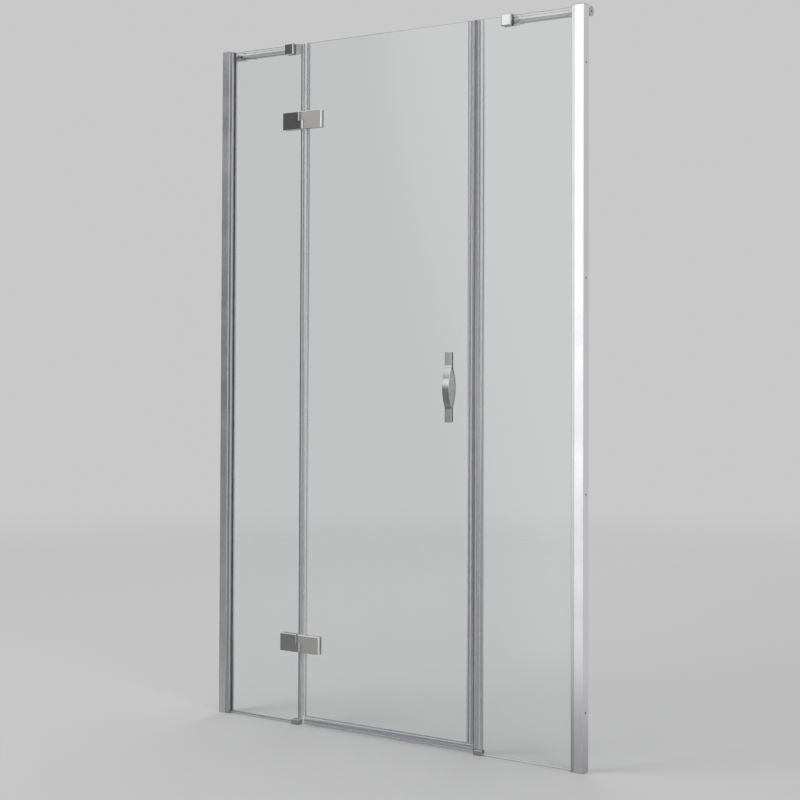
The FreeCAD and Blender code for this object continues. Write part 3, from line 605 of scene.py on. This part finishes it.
def rounded(corners):
    """Turns corners (s, t, radius) into an outline whose corners are tangent arcs."""
    outline = []
    count = len(corners)
    for index, (s, t, radius) in enumerate(corners):
        here = Vector((s, t))
        before = Vector(corners[index - 1][:2]) - here
        after = Vector(corners[(index + 1) % count][:2]) - here
        half = before.angle(after) / 2
        reach = radius / math.tan(half) if radius else 0
        reach = min(reach, before.length * CORNER_REACH_LIMIT, after.length * CORNER_REACH_LIMIT)
        if not reach:
            outline.append(here)
            continue
        start = here + before.normalized() * reach
        end = here + after.normalized() * reach
        for step in range(ARC_STEPS + 1):
            share = step / ARC_STEPS
            first = start.lerp(here, share)
            second = here.lerp(end, share)
            outline.append(first.lerp(second, share))
    return outline


def extruded(mesh, loops, start, end, place):
    """Adds a closed extrusion: the first loop is its outside and the others are hollows."""
    rings = []
    for run in (start, end):
        rings.append([[mesh.verts.new(place(s, t, run)) for s, t in loop] for loop in loops])
    faces = []
    for first, second in zip(*rings):
        for index in range(len(first)):
            after = (index + 1) % len(first)
            faces.append(mesh.faces.new(
                (first[index], first[after], second[after], second[index])))
    triangles = tessellate_polygon([[Vector((s, t, 0)) for s, t in loop] for loop in loops])
    for ring in rings:
        flat = [vert for loop in ring for vert in loop]
        for triangle in triangles:
            faces.append(mesh.faces.new([flat[index] for index in triangle]))
    bmesh.ops.recalc_face_normals(mesh, faces=faces)


def mesh_data(mesh, name):
    """Turns a built mesh into mesh data of that name."""
    data = bpy.data.meshes.new(name)
    mesh.to_mesh(data)
    mesh.free()
    return data


def place_object(context, name, data):
    """Puts an object of that data in the scene."""
    made = bpy.data.objects.new(name, data)
    context.scene.collection.objects.link(made)
    return made


def soft_piece(context, mesh, name, body, slot, finish_name, *nodes):
    """Makes an object of a mesh, which stands for those solid parts and rides on their body."""
    data = mesh_data(mesh, name)
    data.shade_smooth()
    data.set_sharp_from_angle(angle=SHARP_ANGLE)
    piece = place_object(context, name, data)
    data.materials.append(finish(context, finish_name))
    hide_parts(*nodes)
    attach(piece, body)
    return piece


def seal_piece(context, held, body, slot, finish_name, loops, runs=None):
    """An extruded seal in the place of a node, over its whole length or over those runs."""
    mesh = bmesh.new()
    for start, end in runs or [held.run]:
        extruded(mesh, loops, start, end, held.place)
    return soft_piece(context, mesh, held.node + "_extrusion", body, slot, finish_name, held.node)


def welded(node):
    """The mesh of a solid part with its corners joined."""
    mesh = bmesh.new()
    mesh.from_mesh(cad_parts[node].data)
    bmesh.ops.remove_doubles(mesh, verts=mesh.verts, dist=SAME_PLACE)
    return mesh


def softened(context, node, body, slot, finish_name):
    """A soft moulding in the place of each solid of a node, with its arrises rounded off."""
    mesh = welded(node)
    bmesh.ops.dissolve_limit(mesh, angle_limit=FLAT_ANGLE, verts=mesh.verts, edges=mesh.edges)
    arrises = [edge for edge in mesh.edges if edge.calc_face_angle(0) > SHARP_ANGLE]
    radius = context.scene.shower_door.seal.arris_round
    bmesh.ops.bevel(mesh, geom=arrises, offset=radius, segments=ARRIS_STEPS,
                    profile=ARRIS_PROFILE, affect="EDGES", clamp_overlap=True)
    soft_piece(context, mesh, node + "_moulding", body, slot, finish_name, node)


def cut_away(context, piece, low, high):
    """Cuts a box out of a piece."""
    mesh = bmesh.new()
    bmesh.ops.create_cube(mesh, size=1.0)
    span = Vector(high) - Vector(low)
    middle = (Vector(high) + Vector(low)) / 2
    bmesh.ops.transform(mesh, verts=mesh.verts,
                        matrix=Matrix.Translation(middle) @ Matrix.Diagonal((*span, 1)))
    cutter = place_object(context, "cutter", mesh_data(mesh, "cutter"))
    modifier = piece.modifiers.new("cut", "BOOLEAN")
    modifier.operation = "DIFFERENCE"
    modifier.solver = "EXACT"
    modifier.object = cutter
    context.view_layer.update()
    shaped = bpy.data.meshes.new_from_object(
        piece.evaluated_get(context.evaluated_depsgraph_get()))
    piece.modifiers.remove(modifier)
    old = piece.data
    name = old.name
    piece.data = shaped
    bpy.data.meshes.remove(old)
    shaped.name = name
    shaped.set_sharp_from_angle(angle=SHARP_ANGLE)
    cutter_data = cutter.data
    bpy.data.objects.remove(cutter)
    bpy.data.meshes.remove(cutter_data)


def gripping_leg(seal, held, outer):
    """One leg of the U on the glass, from the bottom of its slot, round its tip, to its root."""
    clear = seal.glass_clearance
    face = held.half_pane + clear
    base = outer - seal.ridge_height
    corners = [
        (clear, face, seal.corner_round / 2),
        (seal.lip_length - held.leg, face + clear, 0),
        (-held.leg, held.half_pane + clear / 3, clear),
        (-held.leg, base, seal.corner_round),
    ]
    pitch = held.leg / (seal.ridge_count + 1)
    for number in range(seal.ridge_count):
        middle = (number + 1) * pitch - held.leg
        corners.append((middle - seal.ridge_width / 2, base, 0))
        corners.append((middle, outer, seal.ridge_width / 3))
        corners.append((middle + seal.ridge_width / 2, base, 0))
    return corners


def mirrored_back(corners):
    """The same corners on the other side of the pane, in the opposite order."""
    return [(s, -t, radius) for s, t, radius in reversed(corners)]


def symmetric(corners):
    """A closed outline of those corners and, on the way back, their mirror images."""
    return rounded([*corners, *mirrored_back(corners)])


# How a seal holds the edge of a pane: its node, box and run, how far it reaches on and off the
# pane, the pane's edge, middle and half thickness, and the function that places its outline
Grip = namedtuple("Grip", "node low high run leg depth edge plane half_pane place")


def grip(node, pane, axis, way):
    """How a seal holds the pane's edge on the low (-1) or high (+1) side of an axis."""
    low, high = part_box(node)
    pane_low, pane_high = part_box(pane)
    edge = (pane_high if way > 0 else pane_low)[axis]
    plane = (pane_low.y + pane_high.y) / 2
    below, above = edge - low[axis], high[axis] - edge
    leg, depth = (below, above) if way > 0 else (above, below)
    along = Z_AXIS if axis == X_AXIS else X_AXIS

    def place(s, t, run):
        off = edge + way * s
        return (off, plane + t, run) if axis == X_AXIS else (run, plane + t, off)

    return Grip(node, low, high, (low[along], high[along]), leg, depth, edge, plane,
                (pane_high.y - pane_low.y) / 2, place)


# Seals

# Shapes of the seals, as shares of their widths, depths, walls and radii
HINGE_TIP_WIDTH = 0.58
HINGE_TIP_ROUNDNESS = 0.85
DRIP_TIP_WIDTH = 0.60
DRIP_TIP_ROUNDNESS = 0.7
DRIP_SHOULDER = 1.15
DRIP_SHOULDER_WALL = 1.4
FIN_FALL = 0.78
FIN_TOP_BEND = (0.42, 0.52)
FIN_UNDER_BEND = (0.50, 0.40)
SILL_ARCH_MOUTH = 1 / 2
SILL_ARCH_TOP = 1 / 3
SILL_ARCH_RISE = 3 / 4
BEAD_ROUNDNESS = 1.5


def magnet_profile(seal, held, web):
    """Outline and hollow of a seal with a housing for a magnet strip."""
    outer = held.half_pane + web
    head_half = (held.high.y - held.low.y) / 2
    housing = seal.corner_round * 2
    head = [(web, outer - seal.ridge_height, seal.corner_round / 2), (web, head_half, housing),
            (held.depth, head_half, housing)]
    inside = head_half - seal.bulb_wall
    hollow = [(web + seal.bulb_wall, inside, seal.corner_round),
              (held.depth - seal.bulb_wall, inside, seal.corner_round)]
    return [symmetric(gripping_leg(seal, held, outer) + head), symmetric(hollow)]


class SHOWER_DOOR_OT_magnetic_seals(bpy.types.Operator):
    """Clear seals with magnet housings on the two glass edges that meet"""

    bl_idname = "shower_door.magnetic_seals"
    bl_label = "Magnetic Seals"

    def execute(self, context):
        seal = context.scene.shower_door.seal
        for node, pane, body, way in (("door_magnetic_seal", "door_glass", DOOR, 1),
                                      ("fixed_magnetic_seal", "right_fixed_glass", FRAME, -1)):
            held = grip(node, pane, X_AXIS, way)
            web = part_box("hinge_side_seal")[1].y - held.plane - held.half_pane
            loops = magnet_profile(seal, held, web)
            seal_piece(context, held, body, "clear_vinyl", "upright_vinyl", loops)
        softened(context, "door_magnet_strip", DOOR, "magnet", "bonded_ferrite")
        softened(context, "fixed_magnet_strip", FRAME, "magnet", "bonded_ferrite")
        return {"FINISHED"}


def solid_runs(node):
    """Lowest and highest z of each separate length in a node, from the bottom up."""
    mesh = welded(node)
    runs = []
    waiting = set(mesh.verts)
    while waiting:
        reached = [waiting.pop()]
        levels = []
        while reached:
            vert = reached.pop()
            levels.append(vert.co.z)
            for edge in vert.link_edges:
                other = edge.other_vert(vert)
                if other in waiting:
                    waiting.remove(other)
                    reached.append(other)
        runs.append((min(levels), max(levels)))
    mesh.free()
    return sorted(runs)


class SHOWER_DOOR_OT_hinge_side_seal(bpy.types.Operator):
    """Bulb seal on the door's hinge side, in three lengths between the hinges"""

    bl_idname = "shower_door.hinge_side_seal"
    bl_label = "Hinge Side Seal"

    def execute(self, context):
        seal = context.scene.shower_door.seal
        held = grip("hinge_side_seal", "door_glass", X_AXIS, -1)
        outer = held.high.y - held.plane
        web = outer - held.half_pane
        tip_half = outer * HINGE_TIP_WIDTH
        tip_round = tip_half * HINGE_TIP_ROUNDNESS
        wall = seal.bulb_wall
        head = [(web, outer, seal.corner_round), (held.depth, tip_half, tip_round)]
        hollow = [(web + wall, outer - wall, seal.corner_round),
                  (held.depth - wall, tip_half - wall, tip_round - wall)]
        loops = [symmetric(gripping_leg(seal, held, outer) + head), symmetric(hollow)]
        piece = seal_piece(context, held, DOOR, "clear_vinyl", "upright_vinyl", loops,
                           solid_runs(held.node))
        notch_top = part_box("door_magnetic_seal")[0].z
        low, high = held.low, held.high
        cut_away(context, piece,
                 (held.edge - seal.glass_clearance / 2, low.y - wall, low.z - wall),
                 (high.x + wall, high.y + wall, notch_top))
        return {"FINISHED"}


class SHOWER_DOOR_OT_drip_seal(bpy.types.Operator):
    """Seal under the door, with a hollow bulb and a fin that throws drips inwards"""

    bl_idname = "shower_door.drip_seal"
    bl_label = "Drip Seal"

    def execute(self, context):
        seal = context.scene.shower_door.seal
        held = grip("drip_seal", "door_glass", Z_AXIS, -1)
        outer = held.plane - held.low.y
        web = outer - held.half_pane
        fin_reach = held.high.y - held.plane
        fin_fall = held.depth * FIN_FALL
        thin = seal.fin_thickness
        fin = [
            (0, outer - seal.ridge_height, seal.corner_round),
            (fin_fall * FIN_TOP_BEND[0], outer + (fin_reach - outer) * FIN_TOP_BEND[1], web),
            (fin_fall - thin, fin_reach, thin / 3),
            (fin_fall, fin_reach, thin / 3),
            (fin_fall * FIN_UNDER_BEND[0], outer + (fin_reach - outer) * FIN_UNDER_BEND[1], web),
        ]
        tip_half = outer * DRIP_TIP_WIDTH
        bulb = [(web * DRIP_SHOULDER, outer, seal.corner_round),
                (held.depth, tip_half, tip_half * DRIP_TIP_ROUNDNESS)]
        wall = seal.bulb_wall
        hollow = [(web + wall, outer - wall * DRIP_SHOULDER_WALL, seal.corner_round),
                  (held.depth - wall, tip_half - wall, wall / 2)]
        leg = gripping_leg(seal, held, outer)
        loops = [rounded([*leg, *fin, *bulb, *mirrored_back(leg + bulb)]), symmetric(hollow)]
        seal_piece(context, held, DOOR, "clear_vinyl", "level_vinyl", loops)
        return {"FINISHED"}


class SHOWER_DOOR_OT_sill_gaskets(bpy.types.Operator):
    """Clear strips under the two fixed panes"""

    bl_idname = "shower_door.sill_gaskets"
    bl_label = "Sill Gaskets"

    def execute(self, context):
        seal = context.scene.shower_door.seal
        clear = seal.glass_clearance
        for side in SIDES:
            held = grip(side + "_sill_gasket", side + "_fixed_glass", Z_AXIS, -1)
            outer = held.high.y - held.plane
            web = outer - held.half_pane
            leg = [(clear, held.half_pane + clear, clear),
                   (-held.leg, held.half_pane + clear / 2, clear),
                   (-held.leg, outer - web / 3, seal.corner_round), (0, outer, web)]
            foot = [(held.depth, outer, seal.corner_round),
                    (held.depth, outer * SILL_ARCH_MOUTH, seal.corner_round),
                    (held.depth * SILL_ARCH_RISE, outer * SILL_ARCH_TOP, seal.corner_round)]
            seal_piece(context, held, FRAME, "clear_vinyl", "level_vinyl", [symmetric(leg + foot)])
        return {"FINISHED"}


class SHOWER_DOOR_OT_glazing_gaskets(bpy.types.Operator):
    """Rubber gaskets that hold the fixed panes in their wall profiles"""

    bl_idname = "shower_door.glazing_gaskets"
    bl_label = "Glazing Gaskets"

    def execute(self, context):
        seal = context.scene.shower_door.seal
        clear = seal.glass_clearance
        for side, way in zip(SIDES, (-1, 1)):
            held = grip(side + "_glazing_gasket", side + "_fixed_glass", X_AXIS, way)
            nose_low, nose_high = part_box(side + "_glass_profile")
            bead = nose_low.x - held.low.x if way > 0 else held.high.x - nose_high.x
            bead_top = held.high.y - held.plane
            outer = bead_top - bead
            leg = [
                (clear, held.half_pane + clear, clear),
                (seal.lip_length - held.leg, held.half_pane + clear, 0),
                (-held.leg, held.half_pane + clear / 3, seal.corner_round),
                (-held.leg, bead_top, seal.corner_round * BEAD_ROUNDNESS),
                (bead - held.leg, bead_top, seal.corner_round),
                (bead - held.leg, outer, 0),
            ]
            head = (held.depth, outer, seal.corner_round)
            seal_piece(context, held, FRAME, "grey_rubber", "moulded_rubber",
                       [symmetric([*leg, head])])
        return {"FINISHED"}


# Finishes of the solid parts

class SHOWER_DOOR_OT_glass_panes(bpy.types.Operator):
    """Clear toughened glass of the two fixed panes and the door"""

    bl_idname = "shower_door.glass_panes"
    bl_label = "Glass Panes"

    def execute(self, context):
        dress(context, "toughened_glass", "left_fixed_glass", "right_fixed_glass", "door_glass")
        return {"FINISHED"}


class SHOWER_DOOR_OT_wall_profiles(bpy.types.Operator):
    """Anodised wall channels and glass profiles, with their caps and screws"""

    bl_idname = "shower_door.wall_profiles"
    bl_label = "Wall Profiles"

    def execute(self, context):
        for side in SIDES:
            dress(context, "outer_aluminium", side + "_wall_channel")
            dress(context, "inner_aluminium", side + "_glass_profile")
            dress(context, "silver_plastic", side + "_profile_cap")
        dress(context, "turned_steel", "profile_screws")
        return {"FINISHED"}


class SHOWER_DOOR_OT_support_bars(bpy.types.Operator):
    """Chromed support bars with their clamps, rings, sockets, pads and screws"""

    bl_idname = "shower_door.support_bars"
    bl_label = "Support Bars"

    def execute(self, context):
        for side in SIDES:
            dress(context, "polished_chrome", side + "_bar_clamp", side + "_bar_insert",
                  side + "_support_bar", side + "_bar_ring", side + "_bar_flange")
        softened(context, "bar_clamp_pads", FRAME, "grey_rubber", "moulded_rubber")
        dress(context, "turned_steel", "bar_clamp_screws")
        return {"FINISHED"}


class SHOWER_DOOR_OT_hinges(bpy.types.Operator):
    """Hinge plates, covers, pins, bushes, gaskets and screws"""

    bl_idname = "shower_door.hinges"
    bl_label = "Hinges"

    def execute(self, context):
        for level in HINGES:
            hinge = level + "_hinge_"
            dress(context, "polished_chrome", hinge + "fixed_plate", hinge + "fixed_cover")
            dress(context, "satin_chrome", hinge + "door_plate", hinge + "door_cover")
            dress(context, "turned_steel", hinge + "pin")
            dress(context, "acetal", hinge + "bush")
        softened(context, "hinge_fixed_gaskets", FRAME, "grey_rubber", "pale_rubber")
        softened(context, "hinge_door_gaskets", DOOR, "grey_rubber", "pale_rubber")
        dress(context, "turned_steel", "hinge_fixed_screws", "hinge_door_screws")
        return {"FINISHED"}


class SHOWER_DOOR_OT_handles(bpy.types.Operator):
    """Chromed bow handles with their bolts and clear pads"""

    bl_idname = "shower_door.handles"
    bl_label = "Handles"

    def execute(self, context):
        dress(context, "polished_chrome", "outer_handle", "inner_handle")
        dress(context, "turned_steel", "handle_bolts")
        softened(context, "handle_pads", DOOR, "clear_vinyl", "upright_vinyl")
        return {"FINISHED"}


class SHOWER_DOOR_OT_foot_clips(bpy.types.Operator):
    """Chromed clips at the free bottom corners of the fixed panes"""

    bl_idname = "shower_door.foot_clips"
    bl_label = "Foot Clips"

    def execute(self, context):
        for side in SIDES:
            dress(context, "polished_chrome", side + "_foot_clip")
        softened(context, "foot_liners", FRAME, "grey_rubber", "moulded_rubber")
        dress(context, "turned_steel", "foot_screws")
        return {"FINISHED"}


# Stage

WHITE = (1, 1, 1)
FLOOR_SIDES = 128
FLOOR_DROP = 0.0004
FLOOR_ROUGHNESS = 0.7
FLOOR_SPECULAR = 0.2
FLOOR_FADE_END = 0.95
FLOOR_GLOSS_SHARE = 0.62
FLOOR_GLOSS_SHRINK = 3.0
SENSOR_WIDTH = 36.0

# The studio that the fittings mirror, from ranges of a direction's X, Y or Z to brightnesses
OVERHEAD, OVERHEAD_BRIGHTNESS = (0.16, 0.62), (0.13, 1.05)
UNDERFOOT, UNDERFOOT_BRIGHTNESS = (-0.02, -0.16), (0, 0.12)
ROOM_EDGE = (-0.05, 0.35)
PANEL_FOOT = (-0.42, -0.06)
PANEL_SLOPE, PANEL_SLOPE_RISE = (-0.66, -0.46), (-0.84, 0)
PANEL_FLATTENING = (1, 1, 0.15)

# Each panel's turn to the left of the door's normal, its inner and outer half widths in degrees,
# and its brightness
LEFT_PANEL = (20, 12, 16, 1.45)
RIGHT_PANEL = (-48, 24, 38, 1.25)

# Each lamp's place and width
LAMPS = {
    "key": ((-2.6, -3.2, 4.6), 2.4),
    "fill": ((4.2, -2.2, 2.6), 2.0),
    "rim": ((-1.6, 3.6, 3.8), 2.2),
}


def floor_finish(stage):
    """Plain pale floor that fades into the background away from the door."""
    made, tree, shader = new_finish("studio_floor")
    path = add(tree, "ShaderNodeLightPath").outputs
    mirrored = computed(tree, "SUBTRACT", path["Is Glossy Ray"], path["Is Transmission Ray"],
                        clamp=True)
    # The fittings see a darker floor than the camera does
    dark = [FLOOR_GLOSS_SHARE * part for part in stage.floor_colour]
    feed(tree, shader, {
        "Base Color": blend_colours(tree, mirrored, stage.floor_colour, dark),
        "Roughness": FLOOR_ROUGHNESS, "Specular IOR Level": FLOOR_SPECULAR})
    # For the fittings the floor also ends sooner, so that the panels reach lower in them
    reach = vector_computed(tree, "LENGTH", coordinates(tree))["Value"]
    shrink = computed(tree, "MULTIPLY_ADD", mirrored, FLOOR_GLOSS_SHRINK, 1.0)
    fade = mapped(tree, computed(tree, "MULTIPLY", reach, shrink),
                  (stage.floor_clear_radius, stage.floor_radius * FLOOR_FADE_END),
                  interpolation="SMOOTHSTEP")
    gone = add(tree, "ShaderNodeBsdfTransparent")
    show(tree, blend_shaders(tree, fade, shader.outputs["BSDF"], gone.outputs["BSDF"]))
    return made


def build_floor(context, stage):
    """Round floor under the door."""
    mesh = bmesh.new()
    bmesh.ops.create_circle(mesh, cap_ends=True, segments=FLOOR_SIDES, radius=stage.floor_radius)
    floor = place_object(context, "floor", mesh_data(mesh, "floor"))
    floor.location.z = cad_box[0][2] - FLOOR_DROP
    floor.data.materials.append(floor_finish(stage))


def tall_panel(tree, direction, turn, inner, outer, brightness):
    """Brightness of a tall soft panel in front of the door."""
    turn, inner, outer = map(math.radians, (turn, inner, outer))
    aim = (-math.sin(turn), -math.cos(turn), 0)
    toward = vector_computed(tree, "DOT_PRODUCT", direction, aim)["Value"]
    return mapped(tree, toward, (math.cos(outer), math.cos(inner)), (0, brightness), "SMOOTHSTEP")


def studio_brightness(tree, place, parts):
    """Brightness of the studio in front of the door, as the fittings mirror it."""
    # Overhead softness: dim near the level, bright well above it
    above = mapped(tree, parts["Z"], OVERHEAD, OVERHEAD_BRIGHTNESS, "SMOOTHSTEP")
    below = mapped(tree, parts["Z"], UNDERFOOT, UNDERFOOT_BRIGHTNESS, "SMOOTHSTEP")
    # Two tall soft panels, one left and one right of the door, that end below the level
    flattened = vector_computed(tree, "MULTIPLY", place, PANEL_FLATTENING)["Vector"]
    direction = vector_computed(tree, "NORMALIZE", flattened)["Vector"]
    both = computed(tree, "ADD", tall_panel(tree, direction, *LEFT_PANEL),
                    tall_panel(tree, direction, *RIGHT_PANEL))
    # The lower end of the left panel rises towards its far side
    rise = mapped(tree, parts["X"], PANEL_SLOPE, PANEL_SLOPE_RISE)
    up_from = mapped(tree, computed(tree, "ADD", parts["Z"], rise), PANEL_FOOT,
                     interpolation="SMOOTHSTEP")
    return computed(tree, "MAXIMUM", computed(tree, "ADD", above, below),
                    computed(tree, "MULTIPLY", both, up_from))


def glow(tree, colour, strength=1.0):
    """Light of that colour and strength from all round."""
    made = add(tree, "ShaderNodeBackground", {"Color": (*colour, 1), "Strength": strength})
    return made.outputs["Background"]


def sky(context, stage):
    """Even light for the surfaces, a pale background for the eye, a soft studio for the gloss."""
    world = bpy.data.worlds.new("studio")
    context.scene.world = world
    world.use_nodes = True
    tree = world.node_tree
    tree.nodes.clear()
    light = glow(tree, WHITE, stage.sky_light)
    backdrop = glow(tree, stage.background_colour)
    place = coordinates(tree, "Generated")
    parts = axes(tree, place)
    studio = glow(tree, WHITE, studio_brightness(tree, place, parts))
    # The half of the room behind the door is the same pale background
    behind = mapped(tree, parts["Y"], ROOM_EDGE, interpolation="SMOOTHSTEP")
    gloss = blend_shaders(tree, behind, studio, backdrop)
    path = add(tree, "ShaderNodeLightPath").outputs
    lit = blend_shaders(tree, path["Is Glossy Ray"], light, gloss)
    seen = computed(tree, "MAXIMUM", path["Is Camera Ray"], path["Is Transmission Ray"])
    add(tree, "ShaderNodeOutputWorld", {"Surface": blend_shaders(tree, seen, lit, backdrop)})


def soft_lamp(context, name, place, aim, size, power):
    """A square soft lamp that looks at a point."""
    data = bpy.data.lights.new(name, "AREA")
    data.shape = "SQUARE"
    data.size = size
    data.energy = power
    lamp = place_object(context, name, data)
    lamp.location = place
    lamp.rotation_euler = (Vector(aim) - Vector(place)).to_track_quat("-Z", "Y").to_euler()
    lamp.visible_camera = False
    lamp.visible_glossy = False
    lamp.visible_transmission = False


def camera(context, stage):
    """The camera at the photograph's viewing angle."""
    turn, tilt, roll = stage.camera_turn, stage.camera_tilt, stage.camera_roll
    forward = Vector((-math.sin(turn) * math.cos(tilt), math.cos(turn) * math.cos(tilt),
                      math.sin(tilt)))
    level = Vector((math.cos(turn), math.sin(turn), 0))
    upward = level.cross(forward)
    right = level * math.cos(roll) + upward * math.sin(roll)
    upward = right.cross(forward)
    data = bpy.data.cameras.new("camera")
    data.sensor_width = SENSOR_WIDTH
    data.lens = stage.camera_lens
    data.shift_y = stage.camera_shift
    eye = place_object(context, "camera", data)
    turned = Matrix((right, upward, -forward)).transposed().to_4x4()
    eye.matrix_world = Matrix.Translation(stage.camera_place) @ turned
    context.scene.camera = eye


class SHOWER_DOOR_OT_stage(bpy.types.Operator):
    """Plain floor, pale background, soft lamps and the camera"""

    bl_idname = "shower_door.stage"
    bl_label = "Stage"

    def execute(self, context):
        stage = context.scene.shower_door.stage
        middle = (0, 0, (cad_box[0][2] + cad_box[1][2]) / 2)
        build_floor(context, stage)
        sky(context, stage)
        for name, (place, size) in LAMPS.items():
            power = getattr(stage, name + "_power")
            soft_lamp(context, name + "_lamp", place, middle, size, power)
        camera(context, stage)
        context.scene.view_settings.view_transform = "Standard"
        return {"FINISHED"}


# Add-on

class ShowerDoorSettings(bpy.types.PropertyGroup):
    """All settings of the shower door"""

    glass: PointerProperty(type=GlassSettings, name="Glass", description="Colours of the panes")
    metal: PointerProperty(type=MetalSettings, name="Metal", description="Colours of the metal")
    plastic: PointerProperty(
        type=PlasticSettings, name="Plastic", description="Colours of the rubber and plastic")
    seal: PointerProperty(type=SealSettings, name="Seals", description="Soft profiles")
    stage: PointerProperty(type=StageSettings, name="Stage", description="Floor, light and camera")


PIECE_OPERATORS = (
    SHOWER_DOOR_OT_glass_panes,
    SHOWER_DOOR_OT_wall_profiles,
    SHOWER_DOOR_OT_support_bars,
    SHOWER_DOOR_OT_hinges,
    SHOWER_DOOR_OT_handles,
    SHOWER_DOOR_OT_foot_clips,
    SHOWER_DOOR_OT_magnetic_seals,
    SHOWER_DOOR_OT_hinge_side_seal,
    SHOWER_DOOR_OT_drip_seal,
    SHOWER_DOOR_OT_sill_gaskets,
    SHOWER_DOOR_OT_glazing_gaskets,
    SHOWER_DOOR_OT_stage,
)


class SHOWER_DOOR_PT_panel(bpy.types.Panel):
    """Lists the operators and settings of the shower door"""

    bl_idname = "SHOWER_DOOR_PT_panel"
    bl_label = "Shower Door"
    bl_space_type = "VIEW_3D"
    bl_region_type = "UI"
    bl_category = "Shower Door"

    def draw(self, context):
        for operator in PIECE_OPERATORS:
            self.layout.operator(operator.bl_idname)
        for group in ShowerDoorSettings.__annotations__:
            settings = getattr(context.scene.shower_door, group)
            box = self.layout.box()
            box.label(text=group.title())
            for name in type(settings).__annotations__:
                box.prop(settings, name)


CLASSES = (GlassSettings, MetalSettings, PlasticSettings, SealSettings, StageSettings,
           ShowerDoorSettings, *PIECE_OPERATORS, SHOWER_DOOR_PT_panel)


def register():
    for item in CLASSES:
        bpy.utils.register_class(item)
    bpy.types.Scene.shower_door = PointerProperty(type=ShowerDoorSettings)


def unregister():
    del bpy.types.Scene.shower_door
    for item in reversed(CLASSES):
        bpy.utils.unregister_class(item)


def main():
    """Builds every piece in order."""
    register()
    for operator in PIECE_OPERATORS:
        group, name = operator.bl_idname.split(".")
        getattr(getattr(bpy.ops, group), name)()


if __name__ == "__main__":
    main()
